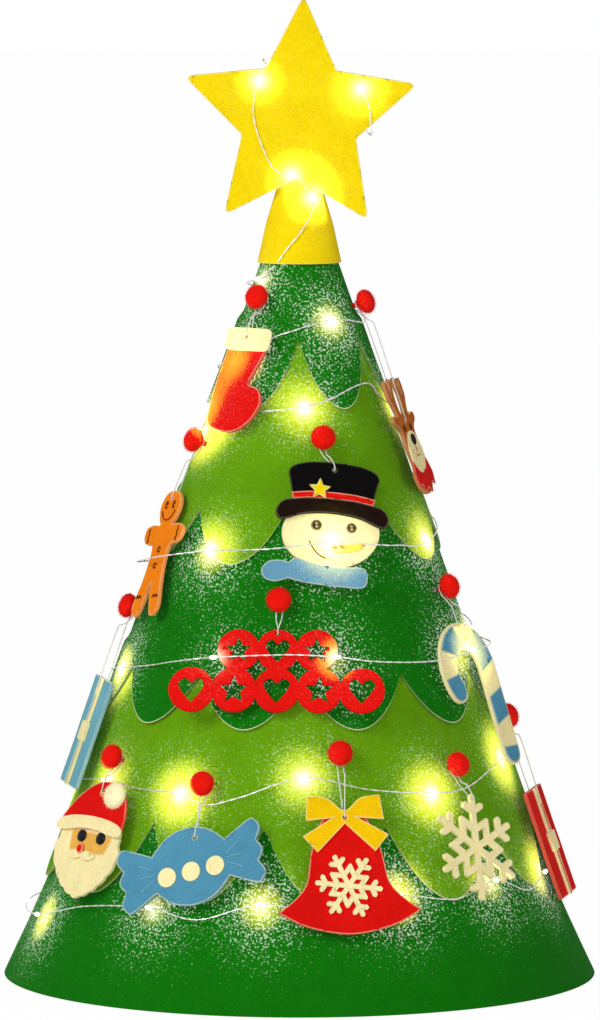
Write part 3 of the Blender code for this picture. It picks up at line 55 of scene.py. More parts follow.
FILM_MM = 36
SIDE_SHIFT = 0.0005


def placed(name, data):
    """A new object that shows a mesh, a curve, a lamp or a camera."""
    made = bpy.data.objects.new(name, data)
    bpy.context.collection.objects.link(made)
    return made


lens = bpy.data.cameras.new("photo_camera")
lens.sensor_fit = "VERTICAL"
lens.sensor_height = FILM_MM
lens.lens = LENS_MM
lens.shift_x = SIDE_SHIFT
camera = placed("photo_camera", lens)
camera.location = CAMERA_PLACE
camera.rotation_euler = (math.radians(90 - CAMERA_DOWN_DEG), 0, 0)
bpy.context.scene.camera = camera
bpy.context.scene.view_settings.view_transform = "Standard"


# Studio
# A white floor that keeps a soft shadow, an even white room, and three large soft lamps: the
# key from the front left, a weaker fill from the right and a low one from behind the camera.
FLOOR_SIZE = 60
FLOOR_WHITE = (0.86, 0.86, 0.86, 1)
SEEN_WHITE_SHARE = 0.985
ROOM_LIGHT = 0.33
AIM_HEIGHT = 0.32
STUDIO_LAMPS = (
    ("key_lamp", (-2.0, -2.4, 2.1), 1.5, 60),
    ("fill_lamp", (2.6, -2.2, 1.1), 1.6, 14),
    ("front_lamp", (-0.3, -3.4, 0.7), 1.2, 18),
)


def mesh_of(name, bm):
    """A new mesh of a bmesh, which is freed."""
    mesh = bpy.data.meshes.new(name)
    bm.to_mesh(mesh)
    bm.free()
    return mesh


class Socket:
    """A value in a shader. Sums with it add Math nodes, and node() adds any other node."""

    def __init__(self, tree, output=None):
        self.tree, self.output = tree, output

    def node(self, kind, settings=None, sockets=None, output=0):
        made = self.tree.nodes.new("ShaderNode" + kind)
        for key, value in (settings or {}).items():
            setattr(made, key, value)
        for key, value in (sockets or {}).items():
            if isinstance(value, Socket):
                self.tree.links.new(value.output, made.inputs[key])
            else:
                made.inputs[key].default_value = value
        return Socket(self.tree, made.outputs[output])

    def math(self, operation, first, second=0.0):
        return self.node("Math", {"operation": operation}, {0: first, 1: second})

    def noise(self, scale, detail, **more):
        place = self.node("TexCoord", output="Object")
        return self.node("TexNoise", sockets={"Vector": place, "Scale": scale, "Detail": detail, **more})

    def mix(self, share, first, second):
        return self.node("Mix", {"data_type": "RGBA"}, {0: share, 6: first, 7: second}, 2)

    def vector(self, operation, first, second):
        other = "Scale" if operation == "SCALE" else 1
        return self.node("VectorMath", {"operation": operation}, {0: first, other: second})

    def between(self, value, low, high):
        return self.node("MapRange", sockets={"Value": value, 1: low, 2: high})

    def bump(self, height, strength, distance):
        return self.node("Bump", sockets={"Height": height, "Strength": strength, "Distance": distance})

    def __add__(self, other):
        return self.math("ADD", self, other)

    def __sub__(self, other):
        return self.math("SUBTRACT", self, other)

    def __mul__(self, other):
        return self.math("MULTIPLY", self, other)

    __radd__, __rmul__ = __add__, __mul__


def finish(name):
    """A new material, its Principled shader, and a socket to start its sums from."""
    made = bpy.data.materials.new(name)
    made.use_nodes = True
    return made, made.node_tree.nodes["Principled BSDF"], Socket(made.node_tree)


def feed(shader, **sockets):
    """Link or set a shader's sockets. Their names are written with underscores."""
    for key, value in sockets.items():
        socket = shader.inputs[key.replace("_", " ")]
        if isinstance(value, Socket):
            value.tree.links.new(value.output, socket)
        else:
            socket.default_value = value


def seen_ray(start):
    """One for a ray from the camera, from a mirror or through glass."""
    rays = [start.node("LightPath", output=f"Is {kind} Ray") for kind in ("Camera", "Glossy", "Transmission")]
    return rays[0] + rays[1] + rays[2]


floor_white, shader, start = finish("floor_white")
feed(shader, Base_Color=FLOOR_WHITE, Roughness=0.9)
seen = seen_ray(start) * SEEN_WHITE_SHARE
glare = start.node("Emission", sockets={"Color": (1, 1, 1, 1), "Strength": 1.0})
diffuse = Socket(start.tree, shader.outputs[0])
both = start.node("MixShader", sockets={0: seen, 1: diffuse, 2: glare})
start.tree.links.new(both.output, start.tree.nodes["Material Output"].inputs["Surface"])

bm = bmesh.new()
bmesh.ops.create_grid(bm, x_segments=1, y_segments=1, size=FLOOR_SIZE / 2)
mesh = mesh_of("floor", bm)
mesh.materials.append(floor_white)
floor = placed("floor", mesh)

room = bpy.data.worlds.new("white_room")
room.use_nodes = True
bpy.context.scene.world = room
start = Socket(room.node_tree)
sky = room.node_tree.nodes["Background"]
seen = start.math("MAXIMUM", seen_ray(start), ROOM_LIGHT)
room.node_tree.links.new(seen.output, sky.inputs["Strength"])
sky.inputs["Color"].default_value = (1, 1, 1, 1)

for name, place, size, power in STUDIO_LAMPS:
    lamp = bpy.data.lights.new(name, "AREA")
    lamp.size, lamp.energy = size, power
    stand = placed(name, lamp)
    stand.location = place
    aim = Vector((0, 0, AIM_HEIGHT)) - Vector(place)
    stand.rotation_euler = aim.to_track_quat("-Z", "Y").to_euler()


# The way of the lights
# The string starts under the cap and runs round the cone to the hem, behind some ornaments and
# in front of others. Where its lamps lie settles where their light is painted on the felt, so it comes first.
TREE_HEIGHT = 0.700
BASE_RADIUS = 0.2055
APEX_HEIGHT = 0.5838
HEM_FLARE = 0.0075
HEM_FLARE_HEIGHT = 0.075
FLARE_POWER = 1.2
SLOPE = BASE_RADIUS / APEX_HEIGHT
LEAN = math.atan(SLOPE)
BASE_FELT = 0.003
WIRE_RADIUS = 0.0005
WIRE_LIFT = 0.0065
BEAD_SPACING = 0.100
FRONT_RISE = 0.0146
BEAD_FRONT_RISE = 0.0156
CANE_STANDOFF = 0.0022
LEAD_HOLE_HEIGHT = 0.049


def cone_radius(height):
    """Radius of the base sheet's outer side at a height."""
    low = max(0.0, 1 - height / HEM_FLARE_HEIGHT)
    return BASE_RADIUS - SLOPE * height + HEM_FLARE * low**FLARE_POWER


def on_cone(angle, height, lift=0.0):
    """Point over the cone. The angle is 0 at the front and grows to the right."""
    turn = math.radians(angle)
    radius = cone_radius(height) + lift / math.cos(LEAN)
    return Vector((radius * math.sin(turn), -radius * math.cos(turn), height))


def curve_point(b, c, leave, reach, t):
    """Point at a share of a curve from one point to another, with its direction at each."""
    return (
        b * (2 * t**3 - 3 * t**2 + 1) + leave * (t**3 - 2 * t**2 + t)
        + c * (3 * t**2 - 2 * t**3) + reach * (t**3 - t**2)
    )


def curve_through(keys, step):
    """A smooth curve through keys of (vector, is a lamp), with points a step apart between them."""
    made = []
    for i in range(len(keys) - 1):
        a, b = keys[max(i - 1, 0)][0], keys[i][0]
        c, d = keys[i + 1][0], keys[min(i + 2, len(keys) - 1)][0]
        made.append((b.copy(), keys[i][1]))
        pieces = max(1, round(step(b, c)))
        leave, reach = (c - a) / 2, (d - b) / 2
        for k in range(1, pieces):
            made.append((curve_point(b, c, leave, reach, k / pieces), False))
    made.append(keys[-1])
    return made


def key_on(angle, height, lift=0.0, lamp=0):
    return Vector((angle, height, WIRE_LIFT + lift)), bool(lamp)


def key_over(turn, swing_angle, height, across, above, lamp=0):
    """A key over an ornament: across its middle line, and above the plane behind it."""
    radius = cone_radius(height) + above / math.cos(LEAN)
    angle = math.degrees(math.atan2(across, radius))
    lift = (math.hypot(radius, across) - cone_radius(height)) * math.cos(LEAN)
    return Vector((turn + swing_angle + angle, height, lift)), bool(lamp)


def lamps_behind(start, end):
    """Lamps at even steps between the end of one row and the start of the next."""
    way = math.radians(start[0] - end[0]) * cone_radius((start[1] + end[1]) / 2)
    count = round(way / BEAD_SPACING) - 1
    shares = [k / (count + 1) for k in range(1, count + 1)]
    return [
        key_on(start[0] + (end[0] - start[0]) * s, start[1] + (end[1] - start[1]) * s, 0, 1) for s in shares
    ]


keys = [key_on(*place) for place in (
    (-32, 0.5110, 0, 0), (-42, 0.5060, 0, 0), (-56, 0.5010, 0, 1), (-190, 0.4870, 0, 1),
    (-262, 0.4730, 0, 0), (-283, 0.4695, 0, 0), (-330, 0.4730, 0, 1), (-372, 0.4640, 0, 0),
    (-387, 0.4580, 0, 0), (-408, 0.4450, 0, 1), (-628, 0.4120, 0, 1), (-670, 0.4280, 0, 0),
    (-717, 0.4130, 0, 1), (-782, 0.4050, 0, 1), (-796, 0.3930, 0, 1),
)]
# Places of two or four values lie on the cone, and longer ones over an ornament.
rows = (
    (
        (-1015, 0.3160, 0, 1), (-1080, 12, 0.3175, 0.046, FRONT_RISE),
        (-1080, 12, 0.3205, 0.001, BEAD_FRONT_RISE, 1), (-1080, 12, 0.3165, -0.050, FRONT_RISE),
        (-1119, 0.3120, 0, 1), (-1080, -66, 0.3080, 0.026, FRONT_RISE),
        (-1080, -66, 0.2990, -0.026, FRONT_RISE), (-1176, 0.2960),
    ),
    (
        (-1356, 0.2500, 0, 1), (-1440, 57, 0.2430, 0.038, FRONT_RISE + CANE_STANDOFF),
        (-1440, 57, 0.2400, 0.012, BEAD_FRONT_RISE + CANE_STANDOFF, 1),
        (-1440, 57, 0.2370, -0.040, FRONT_RISE + CANE_STANDOFF), (-1440, -5, 0.2400, 0.066, FRONT_RISE),
        (-1440, -5, 0.2430, 0.038, BEAD_FRONT_RISE, 1), (-1440, -5, 0.2440, 0.0, FRONT_RISE),
        (-1440, -5, 0.2420, -0.0485, BEAD_FRONT_RISE, 1), (-1440, -5, 0.2400, -0.066, FRONT_RISE),
        (-1492, 0.2310), (-1514, 0.2240, 0, 1),
    ),
    (
        (-1729, 0.1620, 0, 1), (-1740, 0.1570), (-1750, 0.1490), (-1756, 0.1460), (-1764, 0.1460, 0, 1),
        (-1782, 0.1510), (-1799, 0.1600, 0, 1), (-1815, 0.1460), (-1824, 0.1400), (-1832, 0.1465, 0, 1),
        (-1845, 0.1470), (-1860, 0.1490, 0, 1),
    ),
    (
        (-2088, 0.0800, 0, 1), (-2100, 0.0720), (-2111, 0.0830, 0, 1), (-2124, 0.0740), (-2138, 0.0790, 0, 1),
        (-2153, 0.0700), (-2168.5, 0.0745, 0, 1), (-2182, 0.0630), (-2194, 0.0685, 0, 1), (-2212, 0.0640),
        (-2232, 0.0500, 0, 1), (-2254, 0.0490, 0, 1), (-2266, LEAD_HOLE_HEIGHT),
    ),
)
for row in rows:
    row_keys = [key_over(*place) if len(place) > 4 else key_on(*place) for place in row]
    keys += lamps_behind(keys[-1][0], row_keys[0][0]) + row_keys

WIRE_STEP_DEG = 1.5
WIRE_STEP = 0.004


def cone_steps(b, c):
    """How many steps the wire takes between two keys on the cone."""
    return max(abs(c.x - b.x) / WIRE_STEP_DEG, abs(c.y - b.y) / WIRE_STEP)


round_cone = [
    (on_cone(key.x, key.y, max(key.z, WIRE_LIFT)), lamp) for key, lamp in curve_through(keys, cone_steps)
]

# On the star and the cap
STAR_FELT = 0.005
LAY_GAP = 0.0003
CAP_FELT = 0.002
CAP_RIM_HEIGHT = 0.512
CAP_CLEARANCE = 0.0026
BEAD_RADIUS = 0.0015
cap_rim = cone_radius(CAP_RIM_HEIGHT) + (CAP_CLEARANCE + CAP_FELT) / math.cos(LEAN)
CAP_LEVELS = (
    (0.512, cap_rim, cap_rim), (0.540, 0.0240, 0.0208), (0.568, 0.0155, 0.0052), (0.592, 0.0120, 0.0032),
)
STAR_BACK = CAP_LEVELS[2][2] + LAY_GAP
STAR_ROUTE = (
    (0.0440, 0.6360, "front", 1), (0.0495, 0.6240, "front", 0), (0.0508, 0.6120, "front", 0),
    (0.0515, 0.6050, "front", 0), (0.0508, 0.6030, "back", 0), (0.0440, 0.6100, "back", 0),
    (0.0200, 0.6300, "back", 0), (-0.0205, 0.6510, "back", 0), (-0.0255, 0.6575, "back", 0),
    (-0.0262, 0.6565, "front", 0), (-0.0265, 0.6490, "front", 0),
    (-0.0286, 0.6420, "front", 1), (-0.0325, 0.6300, "front", 0), (-0.0314, 0.6090, "front", 0),
    (-0.0190, 0.5800, "front", 0), (-0.0055, 0.5745, "front", 1), (0.0040, 0.5665, "front", 0),
    (0.0097, 0.5590, "cap", 1), (0.0085, 0.5480, "cap", 0), (0.0010, 0.5350, "cap", 0),
    (-0.0080, 0.5240, "cap", 0), (-0.0155, 0.5135, "cap", 0),
)


def cap_level(z):
    """Half width and half depth of the cap's outside at a height."""
    for low, high in zip(CAP_LEVELS, CAP_LEVELS[1:]):
        if z <= high[0]:
            break
    t = (z - low[0]) / (high[0] - low[0])
    return low[1] + (high[1] - low[1]) * t, low[2] + (high[2] - low[2]) * t


def star_key(x, z, surface, lamp):
    off = LAY_GAP + (BEAD_RADIUS if lamp else 2 * WIRE_RADIUS)
    if surface == "cap":
        wide, deep = cap_level(z)
        depth = deep * math.sqrt(max(0.0, 1 - (x / wide) ** 2)) + off + WIRE_RADIUS
    elif surface == "front":
        depth = STAR_BACK + STAR_FELT + off
    else:
        depth = STAR_BACK - off
    return Vector((x, -depth, z)), bool(lamp)


round_star = curve_through([star_key(*key) for key in STAR_ROUTE], lambda b, c: (c - b).length / WIRE_STEP)
lamps = [place for place, lamp in round_cone + round_star if lamp]


# Base cone
# One sheet of stiff dark green felt, 3 mm thick, rolled into a cone with its ends lapped at the
# back. The hem flares a little where it stands on the table.
DARK_GREEN = (0.0040, 0.155, 0.0022, 1)
# Colours of the painted lamp light: the warm pool round a lamp, and the pale of its core and glints. RIM_PALE
# is the pale of the edges, partly lighter cut felt and partly painted highlight.
LAMP_YELLOW = (0.84, 0.72, 0.030, 1)
LAMP_PALE = (1.0, 0.98, 0.86, 1)
RIM_PALE = (0.78, 0.76, 0.46, 1)
# Reach, core and fade of the painted lamp light, how it weakens on felt that faces away, and its painted
# glints.
LAMP_REACH = 0.026
LAMP_CORE = 0.0060
LAMP_FADE = 8.0
FACING_START, FACING_GAIN, FACING_LEAST = 1.3, 4.0, 0.02
OUTWARD_START, OUTWARD_GAIN = 2.5, 3.5
GLINT_SCALE, GLINT_RISE, GLINTS = 680, 0.26, (0.745, 0.79)
FIBRE_SCALE, CLUMP_SCALE = 820, 75
DEEP_TONE, FIBRE_TONE, CLUMP_TONE = 0.50, 0.72, 0.28
LOOSE_FIBRES, FUZZ_SHARE, FUZZ_GAIN, FUZZ_LEAST = (0.62, 0.80), 0.65, 1.50, 0.008
# GRAINS speckle the painted lamp light by the fibres. WIDE_FADE, CORE_*, NEAR_DYE, WIDE_DYE and LAMP_* below
# shape the painted lamp light.
GRAINS, GRAIN_SHARE = (0.48, 0.68), 0.40
WIDE_FADE, CORE_GAIN, CORE_MOST = 0.27, 1.7, 1.4
NEAR_DYE, WIDE_DYE = 0.3, 0.25
FELT_BUMP = (0.45, 0.0006)
LAMP_LEAST, LAMP_SPREAD, LAMP_TURN = 0.70, 0.50, 0.618
TINY = 1e-9
SEAM_LAP_DEG = 6
SEAM_DIVE_DEG = 12
STRIP_FELT = 0.0009
STRIP_GAP = 0.0005
CONE_TOP_HEIGHT = 0.540
FELT_UNEVEN = 0.00025
FELT_UNEVEN_SIZE = 0.020
EDGE_ROUND = 0.0005
EDGE_ROUND_FROM_DEG = 50
# The second row of a sheet lies close to its edge, and the cut sides get a weaker share of the pale edge,
# which is partly lighter cut felt and partly painted highlight.
EDGE_ROW_SHARE = 0.22
WALL_RIM = 0.35


def felt(name, colour, lift=1.0, shine=1.0, tight=1.45, glint=0.04, rim=0.45):
    """Needle felt of one colour. The light of the string's lamps is painted into its emission: a warm
    pool round each lamp with a pale core, speckled by the fibres, and painted glints of fibre in it. Its
    edges are paler, partly the lighter colour of cut felt and partly a painted highlight."""
    made, shader, start = finish(name)
    fibres = start.noise(FIBRE_SCALE, 5, Roughness=0.62, Distortion=1.6)
    clumps = start.noise(CLUMP_SCALE, 3, Roughness=0.6)
    tone = (DEEP_TONE + fibres * FIBRE_TONE + clumps * CLUMP_TONE) * lift
    fuzz = [min(1.0, c * FUZZ_GAIN + FUZZ_LEAST) for c in colour[:3]]
    loose = start.between(fibres, *LOOSE_FIBRES) * FUZZ_SHARE
    dye_and_edge_highlight = start.mix(loose, start.vector("SCALE", colour[:3], tone), (*fuzz, 1))
    # The pale edge: partly the lighter colour of cut felt, partly a painted highlight.
    edge = start.node("Attribute", {"attribute_name": "cut_edge"}, output="Fac")
    dye_and_edge_highlight = start.mix(edge * rim, dye_and_edge_highlight, RIM_PALE)
    # Painted lamp light: a warm pool round each lamp and a pale core, from the stored nearness to the lamps.
    fade = (start.node("Attribute", {"attribute_name": "lamp_reach"}, output="Fac") - 1.0) * LAMP_FADE
    reach = start.math("EXPONENT", fade)
    wide = start.math("EXPONENT", fade * WIDE_FADE)
    fade = (start.node("Attribute", {"attribute_name": "lamp_core"}, output="Fac") - 1.0) * LAMP_FADE
    core = start.math("EXPONENT", fade * (LAMP_REACH / LAMP_CORE) ** 2) * CORE_GAIN
    core = start.math("MINIMUM", core, CORE_MOST) * shine
    grains = start.between(fibres, *GRAINS)
    speckled = (reach * tight - (tight - 1) + grains * GRAIN_SHARE) * shine
    near = start.math("MAXIMUM", start.math("MINIMUM", speckled, shine), 0.0)
    # Painted glints: pale dots of fibre highlight, densest near the lamps.
    dots = start.between(start.noise(GLINT_SCALE, 2, Roughness=0.5) + wide * GLINT_RISE, *GLINTS)
    lit = start.vector("SCALE", dye_and_edge_highlight, near * NEAR_DYE + wide * WIDE_DYE * shine)
    warm = start.vector("SCALE", LAMP_YELLOW[:3], near)
    pale = start.vector("SCALE", LAMP_PALE[:3], core + dots * wide * glint * shine)
    glow = start.vector("ADD", start.vector("ADD", lit, warm), pale)
    # The painted lamp light and glints go into the emission, and the painted edge highlight goes into the
    # base colour.
    feed(
        shader, Base_Color=dye_and_edge_highlight, Roughness=0.95, Specular_IOR_Level=0.05, Sheen_Weight=0.02,
        Emission_Color=glow, Emission_Strength=1.0, Normal=start.bump(fibres, *FELT_BUMP),
    )
    return made


def store_painted_lamp_light(mesh, wrap):
    """Store how near each point of a mesh is to the lamps, for the lamp light that felt() paints into
    the emission: one at a lamp, and less by the square of the way from it. Felt that faces away from
    a lamp gets less of it, down to wrap, and felt that faces the tree's middle least. The lamps
    aren't equally bright, which only lamp_reach tells."""
    count = len(mesh.vertices)
    places, normals = np.empty(count * 3), np.empty(count * 3)
    mesh.vertices.foreach_get("co", places)
    mesh.vertex_normals.foreach_get("vector", normals)
    places, normals = places.reshape(-1, 3), normals.reshape(-1, 3)
    reach, core = np.full(count, TINY), np.full(count, TINY)
    outward = np.sum(places[:, :2] * normals[:, :2], axis=1)
    outward /= np.linalg.norm(places[:, :2], axis=1) + TINY
    outward = np.clip(OUTWARD_START + outward * OUTWARD_GAIN, FACING_LEAST, 1.0)
    for number, lamp in enumerate(lamps):
        way = np.array(lamp) - places
        away = np.sum(way**2, axis=1)
        facing = np.sum(way * normals, axis=1) / np.sqrt(away + TINY)
        facing = np.clip(FACING_START + facing * FACING_GAIN, wrap, 1.0)
        near = np.exp(-away / LAMP_REACH**2) * facing * outward
        reach += near * (LAMP_LEAST + LAMP_SPREAD * (number * LAMP_TURN % 1))
        core = np.maximum(core, near)
    for name, values in (("lamp_reach", reach), ("lamp_core", core)):
        values = np.maximum(1 + np.log(values) / LAMP_FADE, 0)
        mesh.attributes.new(name, "FLOAT", "POINT").data.foreach_set("value", values.astype(np.float32))


def uneven(point):
    """How far the felt's surface wanders from true at a point."""
    return noise.noise(point / FELT_UNEVEN_SIZE) * FELT_UNEVEN


def settle(name, bm, look, body, replaced, edge_round=EDGE_ROUND, wrap=FACING_LEAST):
    """Turn a finished bmesh of felt into a piece that rides on its body."""
    bmesh.ops.recalc_face_normals(bm, faces=bm.faces)
    if bm.calc_volume(signed=True) < 0:
        bmesh.ops.reverse_faces(bm, faces=bm.faces)
    mesh = mesh_of(name, bm)
    mesh.shade_smooth()
    mesh.materials.append(look)
    store_painted_lamp_light(mesh, wrap)
    piece = placed(name, mesh)
    if edge_round:
        rim = piece.modifiers.new("round_edges", "BEVEL")
        rim.width, rim.segments = edge_round, 2
        rim.limit_method, rim.angle_limit = "ANGLE", math.radians(EDGE_ROUND_FROM_DEG)
    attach(piece, body)
    if replaced:
        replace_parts(piece, *replaced)


def walls(bm, cut):
    """Mark the cut sides of a sheet for a weaker pale edge, partly lighter cut felt and partly painted
    highlight.
    """
    for face in bm.faces:
        if len({round(corner.co.z, 4) for corner in face.verts}) > 1:
            face[cut] = WALL_RIM


def felt_sheet(columns, rows, place, rim=1.0):
    """A rolled sheet: place(u, v, side) puts each point, with side 0 inside and 1 outside."""
    bm = bmesh.new()
    bmesh.ops.create_grid(bm, x_segments=columns, y_segments=rows, size=0.5)
    cut = bm.faces.layers.float.new("cut_edge")
    # The row along the lower edge gets the pale edge, partly lighter cut felt and partly painted highlight.
    for face in bm.faces:
        face[cut] = rim if face.calc_center_median().y + 0.5 < 1 / rows else 0.0
    grown = bmesh.ops.extrude_face_region(bm, geom=bm.faces[:], use_keep_orig=True)
    outside = [item for item in grown["geom"] if isinstance(item, bmesh.types.BMVert)]
    bmesh.ops.translate(bm, verts=outside, vec=(0, 0, 1))
    walls(bm, cut)
    for corner in bm.verts:
        u, v, side = corner.co.x + 0.5, corner.co.y + 0.5, round(corner.co.z)
        # The second row moves close to the edge, so that the pale edge ends near it.
        if abs(v - 1 / rows) < 0.1 / rows:
            v *= EDGE_ROW_SHARE
        corner.co = place(u, v, side)
    return bm


def place_base(u, v, side):
    angle = (2 * u - 1) * (180 + SEAM_LAP_DEG)
    height = CONE_TOP_HEIGHT * v
    dive = min(1.0, max(0.0, (angle - 180 + SEAM_LAP_DEG + SEAM_DIVE_DEG) / SEAM_DIVE_DEG))
    lift = -dive * (BASE_FELT + 3 * STRIP_GAP + 2 * STRIP_FELT)
    point = on_cone(angle, height, lift)
    return on_cone(angle, height, lift - (0 if side else BASE_FELT) + uneven(point) * min(1, height / 0.02))


dark_green_felt = felt(
    "dark_green_felt_fibres", DARK_GREEN, tight=2.4, glint=0.62, rim=0.75,
)
settle("base_cone_felt", felt_sheet(248, 130, place_base, 0.0), dark_green_felt, "tree", ["base_cone"])


# Tiers
# Four bands of thinner felt, dark green and lime in turn. Each hangs over the top of the next,
# and its lower edge is cut in round lobes that curl off the tree a little.
LIME = (0.112, 0.300, 0.0025, 1)
TIER_FELT = 0.002
TIER_TUCK = 0.007
TIER_RAMP_START = 0.010
TIER_RAMP_END = 0.003
TIER_TOP_HEIGHT = 0.522
SCALLOP_POWER = 1.9
SLIT_MIDDLE_DEG = 174
SLIT_HALF_DEG = 0.5
LOBE_CURL = 0.0009
TIER_GRAIN = 0.0032
lime_felt = felt("lime_felt_fibres", LIME, shine=1.25, glint=0.22, rim=0.75)
TIERS = (
    ("tier_1_dark", dark_green_felt, 0.790, 0.7040, 6, 29),
    ("tier_2_lime", lime_felt, 0.584, 0.5190, 8, 16.5),
    ("tier_3_dark", dark_green_felt, 0.3905, 0.3275, 11, 16.7),
    ("tier_4_lime", lime_felt, 0.2160, 0.1240, 12, 6.5),
)
lower_lift = 2 * LAY_GAP + TIER_FELT
for number, (name, look, notch_share, end_share, lobes, middle) in enumerate(TIERS):
    notch, end = notch_share * APEX_HEIGHT, end_share * APEX_HEIGHT
    top = TIERS[number - 1][2] * APEX_HEIGHT + TIER_TUCK if number else TIER_TOP_HEIGHT
    last = number + 1 == len(TIERS)
    ramp_low, ramp_high = notch + TIER_TUCK + TIER_RAMP_END, notch + TIER_TUCK + TIER_RAMP_START
    edge_share = (notch - end) / (top - end)

    def place_tier(u, v, side):
        angle = SLIT_MIDDLE_DEG - 360 + SLIT_HALF_DEG + u * (360 - 2 * SLIT_HALF_DEG)
        across = ((angle - middle + 180 / lobes) % (360 / lobes)) / (360 / lobes) * 2 - 1
        lobe_end = end + (notch - end) * abs(across) ** SCALLOP_POWER
        low = min(1.0, v / edge_share)
        height = lobe_end + (notch + LAY_GAP - lobe_end) * low
        if v > edge_share:
            height += (top - notch - LAY_GAP) * (v - edge_share) / (1 - edge_share)
        lift = LAY_GAP
        if not last:
            t = min(1.0, max(0.0, (height - ramp_low) / (ramp_high - ramp_low)))
            lift = lower_lift + (LAY_GAP - lower_lift) * t * t * (3 - 2 * t)
        lift += LOBE_CURL * (1 - low) ** 2 * (1 - abs(across)) + LAY_GAP / 2
        point = on_cone(angle, height, lift + (TIER_FELT if side else 0))
        return point + point.normalized() * (uneven(point) if side else 0)

    columns = round(2 * math.pi * cone_radius(end) / TIER_GRAIN)
    bm = felt_sheet(columns, round((top - end) / TIER_GRAIN), place_tier)
    settle(name + "_felt", bm, look, "tree", [name])


# Topper
# A small cone of yellow felt over the tip, and a star of two layers that are sewn together
# along their edge and stand before it.
YELLOW = (0.850, 0.635, 0.0020, 1)
STAR_RADIUS = 0.0880
STAR_NOTCH_RADIUS = 0.0430
STAR_TIP_ROUND = 0.0035
STAR_TILT_DEG = 2
STAR_LAYER_GAP = 0.0001
FELT_GRAIN = 0.0028
PLATE_RIM = 0.0008
CAP_SLIT_DEG = 1
CAP_COLUMNS = 72
CAP_ROWS = 30
yellow_felt = felt("yellow_felt_fibres", YELLOW, shine=0.72, tight=2.3)


def place_cap(u, v, side):
    z = CAP_LEVELS[0][0] + (CAP_LEVELS[-1][0] - CAP_LEVELS[0][0]) * v
    wide, deep = cap_level(z)
    wall = 0.0 if side else CAP_FELT
    turn = math.radians(-180 + CAP_SLIT_DEG / 2 + u * (360 - CAP_SLIT_DEG))
    return Vector(((wide - wall) * math.sin(turn), -(deep - wall) * math.cos(turn), z))


settle("topper_cap_felt", felt_sheet(CAP_COLUMNS, CAP_ROWS, place_cap), yellow_felt, "topper", ["topper_cap"])


def rounded(points, radius, steps=4):
    """A polygon's outline with each corner rounded to about a radius."""
    outline = []
    for i, point in enumerate(points):
        here = Vector(point)
        before = Vector(points[i - 1]) - here
        after = Vector(points[(i + 1) % len(points)]) - here
        reach = min(radius / math.tan(before.angle(after) / 2), before.length * 0.48, after.length * 0.48)
        first, final = here + before.normalized() * reach, here + after.normalized() * reach
        for step in range(steps + 1):
            t = step / steps
            outline.append(tuple(first * (1 - t) ** 2 + here * 2 * t * (1 - t) + final * t**2))
    return outline


def cut_across(bm, place, side, near):
    """Cut all of a bmesh along a plane."""
    geom = [*bm.verts, *bm.edges, *bm.faces]
    bmesh.ops.bisect_plane(bm, geom=geom, plane_co=place, plane_no=side, dist=near)


def felt_plate(outline, place, low, thick, holes=(), dome=0.0):
    """A flat piece cut from felt, from a height low over a frame's plane. A grid is cut into it, so
    that the painted lamp light can vary over it, and so that it can wander a little and dome."""
    bm = bmesh.new()
    for loop in (outline, *holes):
        corners = [bm.verts.new((p[0], p[1], 0)) for p in loop]
        for i, corner in enumerate(corners):
            bm.edges.new((corners[i - 1], corner))
    bmesh.ops.triangle_fill(bm, use_beauty=True, use_dissolve=False, edges=bm.edges[:])
    bmesh.ops.dissolve_limit(
        bm, angle_limit=0.01, verts=bm.verts[:], edges=bm.edges[:], use_dissolve_boundaries=False,
    )
    for axis in (0, 1):
        side = Vector((1, 0, 0)) if axis == 0 else Vector((0, 1, 0))
        least = min(p[axis] for p in outline)
        most = max(p[axis] for p in outline)
        for k in range(1, int((most - least) / FELT_GRAIN) + 1):
            cut_across(bm, side * (least + k * FELT_GRAIN), side, FELT_GRAIN / 100)
    bmesh.ops.triangulate(bm, faces=[f for f in bm.faces if len(f.verts) > 4])
    cut = bm.faces.layers.float.new("cut_edge")
    rim = bmesh.ops.inset_region(
        bm, faces=bm.faces[:], thickness=PLATE_RIM, use_boundary=True, use_even_offset=True,
    )
    # The ring along the outline gets the pale edge, partly lighter cut felt and partly painted highlight.
    for face in rim["faces"]:
        face[cut] = 1.0
    middle = Vector((sum(p[0] for p in outline) / len(outline), sum(p[1] for p in outline) / len(outline), 0))
    reach = max((Vector((p[0], p[1], 0)) - middle).length for p in outline)
    grown = bmesh.ops.extrude_face_region(bm, geom=bm.faces[:], use_keep_orig=True)
    top = {item for item in grown["geom"] if isinstance(item, bmesh.types.BMVert)}
    bmesh.ops.translate(bm, verts=list(top), vec=(0, 0, 1))
    walls(bm, cut)
    for corner in bm.verts:
        corner.co.z = 0
        away = min(1.0, (corner.co - middle).length / reach)
        rise = low + uneven(corner.co + middle) + dome * (1 - away**2)
        corner.co = place @ Vector((corner.co.x, corner.co.y, rise + (thick if corner in top else 0)))
    return bm


def star_points(middle, radius, notch_radius, tilt_deg=0.0):
    """Points of a five-pointed star."""
    made = []
    for k in range(10):
        turn = math.radians(90 - tilt_deg + 36 * k)
        reach = notch_radius if k % 2 else radius
        made.append((middle[0] + reach * math.cos(turn), middle[1] + reach * math.sin(turn)))
    return made


